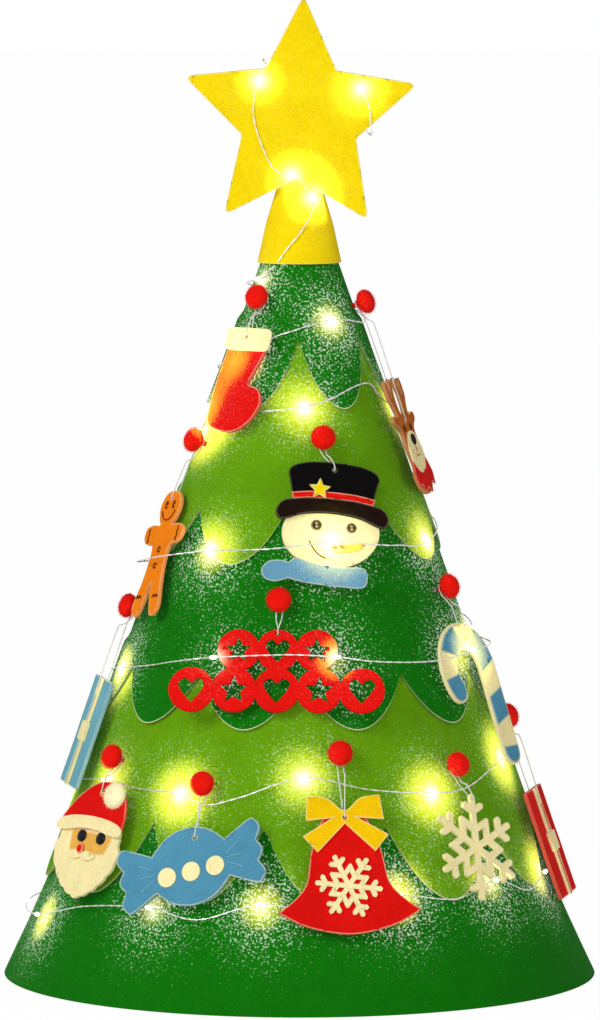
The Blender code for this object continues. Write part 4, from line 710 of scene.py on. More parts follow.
star_outline = rounded(star_points((0, 0), STAR_RADIUS, STAR_NOTCH_RADIUS, STAR_TILT_DEG), STAR_TIP_ROUND)
star_top = max(p[1] for p in star_outline)
star_frame = Matrix.Translation((0, -STAR_BACK, TREE_HEIGHT - star_top))
star_frame = star_frame @ Matrix.Rotation(math.radians(90), 4, "X")
layer = (STAR_FELT - STAR_LAYER_GAP) / 2
star_front = felt_plate(star_outline, star_frame, layer + STAR_LAYER_GAP, layer)
settle("star_front_felt", star_front, yellow_felt, "topper", ["topper_star"])
star_rear = felt_plate(star_outline, star_frame, 0, layer)
settle("star_rear_felt", star_rear, yellow_felt, "topper", [])


# String of lights
# Two thin silver wires that run side by side and are gently twisted, with a drop of clear resin
# over each tiny lamp.

def tube(name, lines, radius, look, body, closed=False):
    """Round cords or wires along lines of points, with their ends closed."""
    data = bpy.data.curves.new(name, "CURVE")
    data.dimensions = "3D"
    data.bevel_depth = radius
    data.bevel_resolution = 1
    data.use_fill_caps = not closed
    for points in lines:
        line = data.splines.new("POLY")
        line.points.add(len(points) - 1)
        for place, point in zip(line.points, points):
            place.co = (*point, 1)
        line.use_cyclic_u = closed
    piece = placed(name, data)
    data.materials.append(look)
    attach(piece, body)
    return piece


silver_wire, shader, start = finish("silver_wire_drawn")
dull = start.noise(300, 3)
bright = start.mix(dull, (0.60, 0.59, 0.56, 1), (0.88, 0.87, 0.83, 1))
feed(shader, Base_Color=bright, Roughness=0.22 + dull * 0.2, Metallic=0.85)

resin, shader, start = finish("lamp_resin")
glow = start.mix(start.noise(700, 2), (1.0, 0.93, 0.55, 1), (1.0, 0.98, 0.80, 1))
feed(shader, Base_Color=(0.95, 0.90, 0.70, 1), Roughness=0.15, Emission_Color=glow, Emission_Strength=3.0)

STRAND_RADIUS = 0.00032
TWIST_PITCH = 0.016
DROP_HALF_LENGTH = 0.0030
DROP_RADIUS = 0.0016


def twisted(points, off, pitch, phase, upright=(0, 0, 1), closed=False):
    """Points that wind round a line at a small distance from it."""
    made, way = [], 0.0
    for i, point in enumerate(points):
        after = points[(i + 1) % len(points) if closed else min(i + 1, len(points) - 1)]
        before = points[i - 1 if closed else max(i - 1, 0)]
        along = (after - before).normalized()
        side = along.cross(Vector(upright)).normalized()
        up = side.cross(along)
        turn = 2 * math.pi * way / pitch + phase
        made.append(point + (side * math.cos(turn) + up * math.sin(turn)) * off)
        way += (after - point).length
    return made


def string_of_lights(name, route, body, replaced):
    """Two strands along a route, and a drop of resin over each lamp."""
    points = [place for place, lamp in route]
    strands = [twisted(points, STRAND_RADIUS, TWIST_PITCH, math.pi * k) for k in range(2)]
    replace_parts(tube(name + "_wires", strands, STRAND_RADIUS, silver_wire, body), replaced)
    bm = bmesh.new()
    for i, (place, lamp) in enumerate(route):
        if not lamp:
            continue
        along = (points[min(i + 1, len(points) - 1)] - points[max(i - 1, 0)]).normalized()
        turn = along.to_track_quat("Z", "Y").to_matrix().to_4x4()
        size = Matrix.Diagonal((DROP_RADIUS, DROP_RADIUS, DROP_HALF_LENGTH, 1))
        bmesh.ops.create_uvsphere(
            bm, u_segments=12, v_segments=8, radius=1, matrix=Matrix.Translation(place) @ turn @ size,
        )
    mesh = mesh_of(name + "_lamps", bm)
    mesh.shade_smooth()
    mesh.materials.append(resin)
    drops = placed(name + "_lamps", mesh)
    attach(drops, body)


string_of_lights("tree_string", round_cone, "tree", "tree_lights")
string_of_lights("star_string", round_star, "topper", "star_lights")


# Pompoms
# Red wool balls, a little squashed, on a short neck that is sewn through the felt. Loose ends of
# the wool stand up all over them.
RED = (0.680, 0.0055, 0.0035, 1)
POMPOM_RADIUS = 0.0090
POMPOM_HALF_DEPTH = 0.0065
POMPOM_LIFT = 0.0127
NECK_RADIUS = 0.0020
WOOL_SHARE = 0.955
WOOL_LENGTH = 0.0024
WOOL_RADIUS = 0.00013
WOOL_ENDS = 520
WOOL_FOOT, WOOL_BEND, WOOL_LEAST, WOOL_SPREAD = 0.97, 1.1, 0.75, 0.5
BALL_LUMPS, BALL_LUMP_SHARE = 420, 0.07
LEAST_NECK_LIFT = 0.0028
TURN_SHARE = 0.381966
POMPOMS = (
    ("stocking", -41, 0.6930), ("reindeer", 78, 0.6860), ("snowman", 12, 0.5545),
    ("gingerbread", -66, 0.5470), ("blue_gift", -80, 0.3757), ("garland", -7, 0.3957),
    ("candy_cane", 64, 0.4000), ("santa", -56, 0.2320), ("candy", -24.5, 0.2157), ("bell", 10.5, 0.2470),
    ("snowflake", 44, 0.2290), ("red_gift", 80, 0.2636),
)
red_wool = felt("red_wool", (0.760, 0.0080, 0.0035, 1), 1.05, tight=2.0)


def even_direction(k, count):
    """Directions spread evenly over a ball."""
    z = 1 - 2 * (k + 0.5) / count
    turn = 2 * math.pi * TURN_SHARE * k
    return Vector((math.sqrt(1 - z * z) * math.cos(turn), math.sqrt(1 - z * z) * math.sin(turn), z))


def frame_of(right, out, place):
    """Frame on the cone: X right, Y up the slope and Z off it."""
    made = Matrix((right, out.cross(right), out)).transposed().to_4x4()
    made.translation = place
    return made


def cone_frame(angle, height):
    """Frame at an angle round the cone and a height."""
    turn = math.radians(angle)
    right = Vector((math.cos(turn), math.sin(turn), 0))
    out = Vector((math.sin(turn) * math.cos(LEAN), -math.cos(turn) * math.cos(LEAN), math.sin(LEAN)))
    return frame_of(right, out, on_cone(angle, height))


def wool_ends(bm, ball, radius, count, seed):
    """Loose ends of wool that stand up all over a ball, which may be squashed by its matrix."""
    for k in range(count):
        out = even_direction(k, count)
        bend = Vector([noise.noise(out * 9 + Vector((seed + 7 * axis, axis, 3))) for axis in range(3)])
        lean = (out + bend * WOOL_BEND).normalized().to_track_quat("Z", "Y").to_matrix().to_4x4()
        long = WOOL_LENGTH * (WOOL_LEAST + WOOL_SPREAD * noise.noise(out * 5 + Vector((0, seed, 0))))
        foot = ball @ (out * radius * WOOL_SHARE * WOOL_FOOT)
        bmesh.ops.create_cone(
            bm, cap_ends=False, segments=3, radius1=WOOL_RADIUS, radius2=WOOL_RADIUS / 4, depth=long,
            matrix=Matrix.Translation(foot) @ lean @ Matrix.Translation((0, 0, long * 0.35)),
        )


for name, angle, height_share in POMPOMS:
    stand = cone_frame(angle, height_share * TREE_HEIGHT)
    bm = bmesh.new()
    ball = Matrix.Translation((0, 0, POMPOM_LIFT))
    ball = ball @ Matrix.Diagonal((1, 1, POMPOM_HALF_DEPTH / POMPOM_RADIUS, 1))
    bmesh.ops.create_uvsphere(
        bm, u_segments=24, v_segments=16, radius=POMPOM_RADIUS * WOOL_SHARE, matrix=ball,
    )
    for corner in bm.verts:
        out = corner.co - Vector((0, 0, POMPOM_LIFT))
        corner.co += out * noise.noise(out * BALL_LUMPS + Vector((angle, 0, 0))) * BALL_LUMP_SHARE
    wool_ends(bm, ball, POMPOM_RADIUS, WOOL_ENDS, angle)
    neck_high = POMPOM_LIFT - POMPOM_HALF_DEPTH * 0.7
    bmesh.ops.create_cone(
        bm, cap_ends=True, segments=16, radius1=NECK_RADIUS, radius2=NECK_RADIUS * 0.9,
        depth=neck_high - LEAST_NECK_LIFT,
        matrix=Matrix.Translation((0, 0, (neck_high + LEAST_NECK_LIFT) / 2)),
    )
    bmesh.ops.transform(bm, matrix=stand, verts=bm.verts)
    settle(name + "_pompom_wool", bm, red_wool, "tree", [name + "_pompom"], 0)


# Hanging cords
# White cord of two plies. Each loop goes round the neck of its pompom, down behind and before
# the ornament, and through the hole in it.
CORD_RADIUS = 0.0005
CORD_RING_LIFT = 0.0057
CORD_RING_GAP = 0.0005
CORD_PASS_LIFT = 0.0081
HOLE_RADIUS = 0.0016
PLY_RADIUS = 0.00030
PLY_PITCH = 0.0030
PLY_SPREAD = 0.8
PLY_UPRIGHT = (0.13, 0.29, 0.95)
CORD_STEP = 0.0006
CORD_RING_START_DEG, CORD_RING_DEG, CORD_RING_STEPS = -30, 240, 8
CORD_BEND = 0.006
PLATE_LIFT = 0.0094
ORNAMENT_FELT = 0.0025
swings = {joint["child"]: joint for joint in frame["record"]["behaviour"]["joints"]}

white_cord, shader, start = finish("white_twisted_cord")
white = start.mix(start.noise(1500, 3), (0.62, 0.61, 0.57, 1), (0.90, 0.89, 0.85, 1))
feed(shader, Base_Color=white, Roughness=0.8, Sheen_Weight=0.2)


def hung_plane(name):
    """Frame of an ornament, with zero at its pompom's neck."""
    out = Vector(swings[name]["axis"]).normalized()
    right = Vector((0, 0, 1)).cross(out).normalized()
    return frame_of(right, out, swings[name]["pos_m"])


def hang(name, hole, back=PLATE_LIFT, front=PLATE_LIFT + ORNAMENT_FELT):
    """The loop of cord of an ornament, through a hole in felt that lies between two heights."""
    plane = hung_plane(name)
    ring = NECK_RADIUS + CORD_RING_GAP + CORD_RADIUS
    off = CORD_RADIUS + CORD_RING_GAP / 2
    behind, before = back - off, front + off
    down = Vector(hole)
    points = []
    for step in range(CORD_RING_STEPS + 1):
        turn = math.radians(CORD_RING_START_DEG + CORD_RING_DEG * step / CORD_RING_STEPS)
        points.append((ring * math.cos(turn), ring * math.sin(turn), CORD_RING_LIFT))
    left, clear = -ring * math.cos(math.radians(CORD_RING_START_DEG)), POMPOM_RADIUS + 3 * CORD_RADIUS
    rise = CORD_RING_LIFT + (before - CORD_RING_LIFT) * 0.4
    points += [
        (left, -ring * 1.6, CORD_RING_LIFT + CORD_RADIUS / 2),
        (left * 0.8, -clear * 0.8, CORD_PASS_LIFT),
        (left * 0.7 + down.x * 0.3, -clear * 1.35, behind),
        (down.x, down.y + HOLE_RADIUS * 2, behind),
        (down.x, down.y, behind),
        (down.x, down.y, (back + front) / 2),
        (down.x, down.y, before),
        (down.x, down.y + HOLE_RADIUS * 2, before),
        (-left * 0.7 + down.x * 0.3, -clear * 1.5, before),
        (-left * 0.8, -clear * 1.1, rise + CORD_RADIUS),
        (-left, -ring * 1.6, CORD_RING_LIFT + CORD_RADIUS / 2),
    ]
    points = [Vector(p) for p in points]
    path = []
    for i, b in enumerate(points):
        c, d, a = points[(i + 1) % len(points)], points[(i + 2) % len(points)], points[i - 1]
        tight = min(1.0, (c - b).length / CORD_BEND) * 0.5
        pieces = max(2, round((c - b).length / CORD_STEP))
        for k in range(pieces):
            leave, reach = (c - a) * tight, (d - b) * tight
            if (c - a).length > 3 * (c - b).length:
                leave = (c - b) * 0.5
            if (d - b).length > 3 * (c - b).length:
                reach = (c - b) * 0.5
            path.append(curve_point(b, c, leave, reach, k / pieces))
    length = sum((b - a).length for a, b in zip(path, path[1:] + path[:1]))
    pitch = length / round(length / PLY_PITCH)
    plies = []
    for phase in (0, math.pi):
        ply = twisted(path, PLY_RADIUS * PLY_SPREAD, pitch, phase, PLY_UPRIGHT, True)
        plies.append([plane @ point for point in ply])
    piece = tube(name + "_cord_plies", plies, PLY_RADIUS, white_cord, name, closed=True)
    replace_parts(piece, name + "_cord")


# Stocking
# A red felt sock, seen from the side, with a pale cuff glued over its top.
CREAM = (0.930, 0.800, 0.400, 1)
TRIM_FELT = 0.0015
TRIM_LIFT = PLATE_LIFT + ORNAMENT_FELT + LAY_GAP
TRIM_TOP = TRIM_LIFT + TRIM_FELT
PLATE, TRIM = (PLATE_LIFT, ORNAMENT_FELT), (TRIM_LIFT, TRIM_FELT)
TOUCH = 0.00005
HOLE_SIDES = 20
red_felt = felt("red_felt_fibres", RED, tight=2.8, rim=0.35)
cream_felt = felt("cream_felt_fibres", CREAM)


def disc(centre, radius, sides=HOLE_SIDES):
    """Points of a round outline."""
    turns = [2 * math.pi * i / sides for i in range(sides)]
    return [(centre[0] + radius * math.cos(t), centre[1] + radius * math.sin(t)) for t in turns]


def oval(centre, half_width, half_height, sides=48):
    """Points of an oval outline."""
    return [(centre[0] + half_width * x, centre[1] + half_height * y) for x, y in disc((0, 0), 1, sides)]


def smooth(points, steps=7, closed=True):
    """A curve through points. A point with a third value is a corner."""
    outline = []
    count = len(points)
    for i in range(count if closed else count - 1):
        near = [i + k if closed else min(max(i + k, 0), count - 1) for k in (-1, 0, 1, 2)]
        a, b, c, d = (points[k % count] for k in near)
        first, final = Vector(b[:2]), Vector(c[:2])
        leave = Vector((0, 0)) if len(b) > 2 else (final - Vector(a[:2])) / 2
        reach = Vector((0, 0)) if len(c) > 2 else (Vector(d[:2]) - first) / 2
        outline += [tuple(curve_point(first, final, leave, reach, step / steps)) for step in range(steps)]
    if not closed:
        outline.append(tuple(points[-1][:2]))
    return outline


def spread(shares, width, height, middle=(0, 0)):
    """Shares of a width and a height as points round a middle, keeping corner marks."""
    return [(middle[0] + s[0] * width, middle[1] + s[1] * height, *s[2:]) for s in shares]


def layer_on(body, part, outline, look, low, thick, replaced="", holes=(), dome=0.0, wrap=FACING_LEAST):
    """A layer of felt on an ornament, which rides on its body and may replace a part of it."""
    bm = felt_plate(outline, hung_plane(body), low, thick, holes, dome=dome)
    nodes = [f"{body}_{replaced}"] if replaced else []
    settle(f"{body}_{part}", bm, look, body, nodes, wrap=wrap)


STOCKING_WIDTH, STOCKING_HEIGHT, STOCKING_DROP = 0.045, 0.076, 0.0235
CUFF_WIDTH, CUFF_HEIGHT, CUFF_ROUND = 0.041, 0.0165, 0.0055
STOCKING_SHIFT, CUFF_SHIFT = 0.0013, 0.0022
STOCKING_HOLE_DEPTH = 0.0065
# How much painted lamp light the sock keeps on felt that faces away from a lamp, as if it came through and
# round its edge.
STOCKING_WRAP = 0.76
STOCKING_SHARES = (
    (-0.36, -0.02, 1), (0.38, -0.02, 1), (0.40, -0.17), (0.27, -0.40), (0.19, -0.53), (0.42, -0.58),
    (0.52, -0.72), (0.36, -0.90), (0.06, -1.00), (-0.28, -0.985), (-0.47, -0.92), (-0.50, -0.75),
    (-0.46, -0.45), (-0.38, -0.17),
)
hole = (0, -STOCKING_DROP - STOCKING_HOLE_DEPTH)
outline = smooth(spread(STOCKING_SHARES, STOCKING_WIDTH, STOCKING_HEIGHT, (STOCKING_SHIFT, -STOCKING_DROP)))
layer_on(
    "stocking", "sock_felt", outline, red_felt, *PLATE, "sock", [disc(hole, HOLE_RADIUS)], wrap=STOCKING_WRAP,
)
square = ((-0.5, 0.5), (0.5, 0.5), (0.5, -0.5), (-0.5, -0.5))
corners = spread(square, CUFF_WIDTH, CUFF_HEIGHT, (CUFF_SHIFT, -STOCKING_DROP - CUFF_HEIGHT / 2))
layer_on(
    "stocking", "cuff_felt", rounded(corners, CUFF_ROUND, 8), cream_felt, *TRIM, "cuff",
    [disc(hole, HOLE_RADIUS)], wrap=STOCKING_WRAP,
)
hang("stocking", hole, PLATE_LIFT, TRIM_TOP)


# Reindeer
# A brown felt head with antlers, a pale muzzle, a black nose and a red scarf, in layers.
BROWN = (0.470, 0.115, 0.010, 1)
BLACK = (0.0030, 0.0025, 0.0025, 1)
REINDEER_WIDTH, REINDEER_HEIGHT, REINDEER_DROP = 0.062, 0.087, 0.0575
REINDEER_HOLE_SHARE = 0.37
THIN_FELT = 0.0010
REINDEER_SHARES = (
    (0, -0.30), (0.10, -0.29), (0.13, -0.16), (0.07, -0.05), (0.13, 0.0), (0.20, -0.09), (0.28, -0.15),
    (0.30, -0.04), (0.38, -0.02), (0.39, -0.15), (0.29, -0.25), (0.27, -0.32), (0.46, -0.31),
    (0.50, -0.37), (0.31, -0.45), (0.31, -0.58), (0.25, -0.76), (0.34, -0.83), (0.27, -0.95), (0, -1.0),
)
MUZZLE_SHARES = ((0, -0.46), (0.17, -0.49), (0.29, -0.60), (0.29, -0.72), (0.16, -0.80), (0, -0.82))
REINDEER_SCARF_SHARES = (
    (0, -0.80), (0.16, -0.780), (0.28, -0.70, 1), (0.35, -0.76), (0.41, -0.84), (0.36, -0.94, 1),
    (0.24, -0.915), (0.15, -0.995, 1), (0, -0.95),
)
brown_felt = felt("brown_felt_fibres", BROWN)
black_felt = felt("black_felt_fibres", BLACK, shine=0.03, rim=0.06)


def mirrored(half):
    """An outline from its right half, given from the top middle down to the bottom middle."""
    return list(half) + [(-p[0], *p[1:]) for p in reversed(half) if p[0] != 0]


middle = (0, -REINDEER_DROP)
hole = (0, -REINDEER_DROP - REINDEER_HOLE_SHARE * REINDEER_HEIGHT)
PLATE_FRONT = PLATE_LIFT + ORNAMENT_FELT + TOUCH
head = smooth(spread(mirrored(REINDEER_SHARES), REINDEER_WIDTH, REINDEER_HEIGHT, middle), 6)
layer_on("reindeer", "head_felt", head, brown_felt, *PLATE, "head", [disc(hole, HOLE_RADIUS)])
muzzle = smooth(spread(mirrored(MUZZLE_SHARES), REINDEER_WIDTH, REINDEER_HEIGHT, middle), 6)
layer_on("reindeer", "muzzle_felt", muzzle, cream_felt, PLATE_FRONT, THIN_FELT)
scarf = smooth(spread(mirrored(REINDEER_SCARF_SHARES), REINDEER_WIDTH, REINDEER_HEIGHT, middle), 6)
layer_on("reindeer", "scarf_felt", scarf, red_felt, PLATE_FRONT, THIN_FELT)
on_muzzle = PLATE_FRONT + THIN_FELT + TOUCH
nose_y = -REINDEER_DROP - 0.535 * REINDEER_HEIGHT
layer_on("reindeer", "nose_felt", oval((0, nose_y), 0.0048, 0.0040), black_felt, on_muzzle, THIN_FELT)
for side in (-1, 1):
    eye = (side * 0.15 * REINDEER_WIDTH, -REINDEER_DROP - 0.43 * REINDEER_HEIGHT)
    layer_on(
        "reindeer", f"eye_{'left' if side < 0 else 'right'}", oval(eye, 0.0021, 0.0028), black_felt,
        PLATE_FRONT, THIN_FELT / 2,
    )


def stitches(body, part, lines, low, look, radius=0.0003):
    """Thread or cord laid on the front of an ornament, along flat lines."""
    plane = hung_plane(body)
    raised = [[plane @ Vector((x, y, low + radius)) for x, y in line] for line in lines]
    tube(f"{body}_{part}", raised, radius, look, body)


freckles = []
for side in (-1, 1):
    for x, y in ((0.11, 0.62), (0.17, 0.64), (0.13, 0.68)):
        spot = (side * x * REINDEER_WIDTH, -REINDEER_DROP - y * REINDEER_HEIGHT)
        freckles.append([spot, (spot[0] + 0.0007, spot[1])])
mouth = [(0, nose_y - 0.004), (0, nose_y - 0.0095)]
smile = smooth([(-0.0050, nose_y - 0.0110), (0, nose_y - 0.0125), (0.0050, nose_y - 0.0110)], closed=False)
stitches("reindeer", "face_thread", [*freckles, mouth, smile], on_muzzle, brown_felt)
hang("reindeer", hole)


# Snowman
# A pale face with button eyes and a carrot nose. The black hat with its rolled brim, red band and
# yellow star, and the blue scarf, are glued over it.
BLUE = (0.075, 0.265, 0.395, 1)
SNOWMAN_TILT_DEG = -7
FACE_WIDTH, FACE_HEIGHT, FACE_DEPTH, SNOWMAN_SHIFT = 0.070, 0.052, 0.0695, 0.0007
HAT_WIDTH, HAT_HEIGHT, HAT_DROP, HAT_HOLE_DEPTH = 0.081, 0.045, 0.0185, 0.0055
HAT_SHARES = (
    (0, 0), (0.22, -0.025), (0.355, -0.10), (0.40, -0.20), (0.385, -0.36), (0.352, -0.645, 1), (0.42, -0.675),
    (0.475, -0.75), (0.50, -0.87), (0.465, -0.99), (0.385, -0.965), (0.24, -0.87), (0, -0.83),
)
BRIM_SHARES = (
    (0, -0.60), (0.20, -0.61), (0.352, -0.65), (0.42, -0.675), (0.475, -0.75), (0.50, -0.87), (0.465, -0.99),
    (0.385, -0.965), (0.24, -0.87), (0, -0.83),
)
BAND_SHARES = (
    (0, -0.485), (0.20, -0.497), (0.372, -0.545, 1), (0.356, -0.65, 1), (0.20, -0.612), (0, -0.602),
)
BADGE_PLACE, BADGE_RADIUS, BADGE_NOTCH = (-0.0095, -0.0393), 0.0085, 0.0038
SCARF_WIDTH, SCARF_HEIGHT, SCARF_DEPTH, SCARF_SHIFT = 0.056, 0.018, 0.0995, -0.0008
SCARF_SHARES = (
    (0.42, 0.36), (0.50, 0.22), (0.52, -0.10), (0.46, -0.45), (0.15, -0.50), (-0.25, -0.46),
    (-0.50, -0.34, 1), (-0.66, -0.52), (-0.80, -0.42), (-0.84, -0.08), (-0.76, 0.26), (-0.62, 0.36),
    (-0.50, 0.30, 1), (-0.40, 0.50), (-0.15, 0.36), (0.15, 0.30),
)
BUTTON_EYES = (("left", (-0.0101, 0.0058), 0.0040), ("right", (0.0149, 0.0030), 0.0038))
BUTTON_HOLE_RADIUS, BUTTON_HOLE_OFF = 0.0005, 0.0011
CARROT = (
    (-0.0015, -0.0118), (0.0050, -0.0150), (0.0180, -0.0140), (0.0240, -0.0098, 1), (0.0215, -0.0080),
    (0.0100, -0.0088), (0.0005, -0.0088),
)
SMILE = ((-0.0162, -0.0052), (-0.0142, -0.0100), (-0.0102, -0.0155), (-0.0050, -0.0185))
blue_felt = felt("blue_felt_fibres", BLUE, tight=2.0)
scarf_felt = felt("pale_scarf_fibres", (0.130, 0.320, 0.450, 1))
brim_felt = felt("black_brim_fibres", (0.013, 0.005, 0.003, 1), shine=0.04, rim=0.10)
button_brown = felt("dark_brown_button", (0.060, 0.018, 0.006, 1), shine=0.10)
smile_thread = felt("brown_smile_thread", (0.240, 0.050, 0.008, 1), shine=0.4)
carrot_felt = felt("carrot_felt_fibres", (0.900, 0.420, 0.060, 1))


def turned(points, degrees, middle=(0, 0)):
    """An outline turned about a middle."""
    turn = math.radians(degrees)
    made = []
    for p in points:
        x, y = p[0] - middle[0], p[1] - middle[1]
        made.append((
            middle[0] + x * math.cos(turn) - y * math.sin(turn),
            middle[1] + x * math.sin(turn) + y * math.cos(turn), *p[2:],
        ))
    return made


face = (SNOWMAN_SHIFT, -FACE_DEPTH)
layer_on("snowman", "face_felt", oval(face, FACE_WIDTH / 2, FACE_HEIGHT / 2, 72), cream_felt, *PLATE, "face")


def hat_part(shares):
    """Outline of the hat or of a part of it, from shares of the hat's size."""
    part = smooth(spread(mirrored(shares), HAT_WIDTH, HAT_HEIGHT, (SNOWMAN_SHIFT, -HAT_DROP)), 6)
    return turned(part, SNOWMAN_TILT_DEG, face)


hat_hole, badge = turned([(SNOWMAN_SHIFT, -HAT_DROP - HAT_HOLE_DEPTH), BADGE_PLACE], SNOWMAN_TILT_DEG, face)
layer_on("snowman", "hat_felt", hat_part(HAT_SHARES), black_felt, *TRIM, "hat", [disc(hat_hole, HOLE_RADIUS)])
layer_on("snowman", "brim_felt", hat_part(BRIM_SHARES), brim_felt, TRIM_TOP + TOUCH, THIN_FELT, dome=0.0006)
layer_on("snowman", "band_felt", hat_part(BAND_SHARES), red_felt, TRIM_TOP + TOUCH, THIN_FELT / 2)
layer_on(
    "snowman", "star_felt", rounded(star_points(badge, BADGE_RADIUS, BADGE_NOTCH, 7), 0.0004), yellow_felt,
    TRIM_TOP + THIN_FELT + 2 * TOUCH, THIN_FELT,
)
scarf = smooth(spread(SCARF_SHARES, SCARF_WIDTH, SCARF_HEIGHT, (SCARF_SHIFT, -SCARF_DEPTH)))
layer_on("snowman", "scarf_felt", turned(scarf, SNOWMAN_TILT_DEG, face), scarf_felt, *TRIM, "scarf")
for side, (x, y), radius in BUTTON_EYES:
    eye = (face[0] + x, face[1] + y)
    thread_holes = [
        disc((eye[0], eye[1] + off), BUTTON_HOLE_RADIUS, 10)
        for off in (-BUTTON_HOLE_OFF, BUTTON_HOLE_OFF)
    ]
    layer_on(
        "snowman", f"eye_{side}", disc(eye, radius, 32), button_brown, PLATE_FRONT, THIN_FELT,
        holes=thread_holes, dome=0.0004,
    )
nose = smooth([(face[0] + p[0], face[1] + p[1], *p[2:]) for p in CARROT])
layer_on("snowman", "nose_felt", nose, carrot_felt, PLATE_FRONT, THIN_FELT)
smile = smooth([(face[0] + x, face[1] + y) for x, y in SMILE], closed=False)
stitches("snowman", "smile_thread", [smile], PLATE_FRONT, smile_thread, 0.0005)
hang("snowman", hat_hole, TRIM_LIFT, TRIM_TOP)


# Gingerbread man
# Ginger felt with a face, two buttons and zigzags of icing in dark thread.
GINGER = (0.900, 0.225, 0.0040, 1)
GINGER_WIDTH, GINGER_HEIGHT, GINGER_DROP, GINGER_TILT_DEG = 0.062, 0.094, 0.038, 8
GINGER_HOLE_DEPTH = 0.0060
GINGER_SHARES = (
    (0, 0), (0.17, -0.025), (0.255, -0.120), (0.21, -0.215), (0.15, -0.270), (0.33, -0.265), (0.47, -0.29),
    (0.49, -0.365), (0.40, -0.415), (0.22, -0.44), (0.21, -0.58), (0.26, -0.75), (0.34, -0.90),
    (0.28, -0.985), (0.16, -0.98), (0.07, -0.86), (0, -0.73),
)
ginger_felt = felt("ginger_felt_fibres", GINGER, tight=2.0)
icing_thread = felt("dark_icing_thread", (0.110, 0.016, 0.004, 1), shine=0.2)
middle = (0, -GINGER_DROP - GINGER_HEIGHT / 2)
hole = turned([(0, -GINGER_DROP - GINGER_HOLE_DEPTH)], GINGER_TILT_DEG, middle)[0]
man = smooth(spread(mirrored(GINGER_SHARES), GINGER_WIDTH, GINGER_HEIGHT, (0, -GINGER_DROP)), 6)
layer_on(
    "gingerbread", "man_felt", turned(man, GINGER_TILT_DEG, middle), ginger_felt, *PLATE, "man",
    [disc(hole, HOLE_RADIUS)],
)
smile = ((-0.0105, -0.0150), (-0.0065, -0.0200), (0, -0.0220), (0.0065, -0.0200), (0.0105, -0.0150))
icing = [smooth(smile, closed=False)]
for side in (-1, 1):
    icing.append(oval((side * 0.0058, -0.0105), 0.0014, 0.0027, 12))
    wrist = [(side * (0.0225 + 0.0012 * (k % 2)), -0.0275 - 0.0022 * k) for k in range(6)]
    ankle = [(side * (0.0095 + 0.0020 * k), -0.0800 + 0.0022 * (k % 2)) for k in range(5)]
    icing += [wrist, ankle]
for depth in (0.0440, 0.0560):
    icing.append(disc((0, -depth), 0.0020, 14))
icing = [turned([(x, y - GINGER_DROP) for x, y in line], GINGER_TILT_DEG, middle) for line in icing]
stitches("gingerbread", "icing", icing, PLATE_LIFT + ORNAMENT_FELT, icing_thread, 0.0004)
hang("gingerbread", hole)


# Gifts
# Two parcels of felt, blue and red, each with a pale ribbon down it and a knot in the middle.
GIFT_WIDTH, GIFT_HEIGHT, GIFT_DROP, GIFT_ROUND = 0.060, 0.080, 0.055, 0.0020
RIBBON_WIDTH, KNOT_WIDTH, KNOT_HEIGHT = 0.011, 0.019, 0.014
GIFT_HOLE_DEPTH = 0.0070
RIBBON_LINE, LINE_GAP, LINE_END = 0.0024, 0.0006, 0.0120
pale_blue_felt = felt("pale_blue_felt_fibres", (0.150, 0.400, 0.500, 1))
for name, look in (("blue_gift", pale_blue_felt), ("red_gift", red_felt)):
    middle = -GIFT_DROP - GIFT_HEIGHT / 2
    hole = (0, -GIFT_DROP - GIFT_HOLE_DEPTH)
    layer_on(
        name, "parcel_felt", rounded(spread(square, GIFT_WIDTH, GIFT_HEIGHT, (0, middle)), GIFT_ROUND), look,
        *PLATE, "parcel", [disc(hole, HOLE_RADIUS)],
    )
    half, knot, rise = RIBBON_WIDTH / 2, KNOT_WIDTH / 2, KNOT_HEIGHT / 2
    right = [
        (half, GIFT_HEIGHT / 2), (half, rise), (knot, rise), (knot, -rise), (half, -rise),
        (half, -GIFT_HEIGHT / 2),
    ]
    band = [(x, y + middle) for x, y in [*right, *[(-x, y) for x, y in reversed(right)]]]
    layer_on(name, "ribbon_felt", band, cream_felt, *TRIM, "ribbon", [disc(hole, HOLE_RADIUS)])
    half_high = GIFT_HEIGHT / 2
    for part, low, high in (
        ("upper", rise + LINE_GAP, half_high - LINE_END), ("lower", -half_high, -rise - LINE_GAP),
    ):
        line = spread(square, RIBBON_LINE, high - low, (0, middle + (low + high) / 2))
        layer_on(name, f"{part}_line", line, look, TRIM_TOP + TOUCH, THIN_FELT / 2)
    layer_on(
        name, "knot_felt", rounded(spread(square, KNOT_WIDTH, KNOT_HEIGHT, (0, middle)), 0.0015), cream_felt,
        TRIM_TOP + TOUCH, THIN_FELT,
    )
    hang(name, hole, PLATE_LIFT, TRIM_TOP)


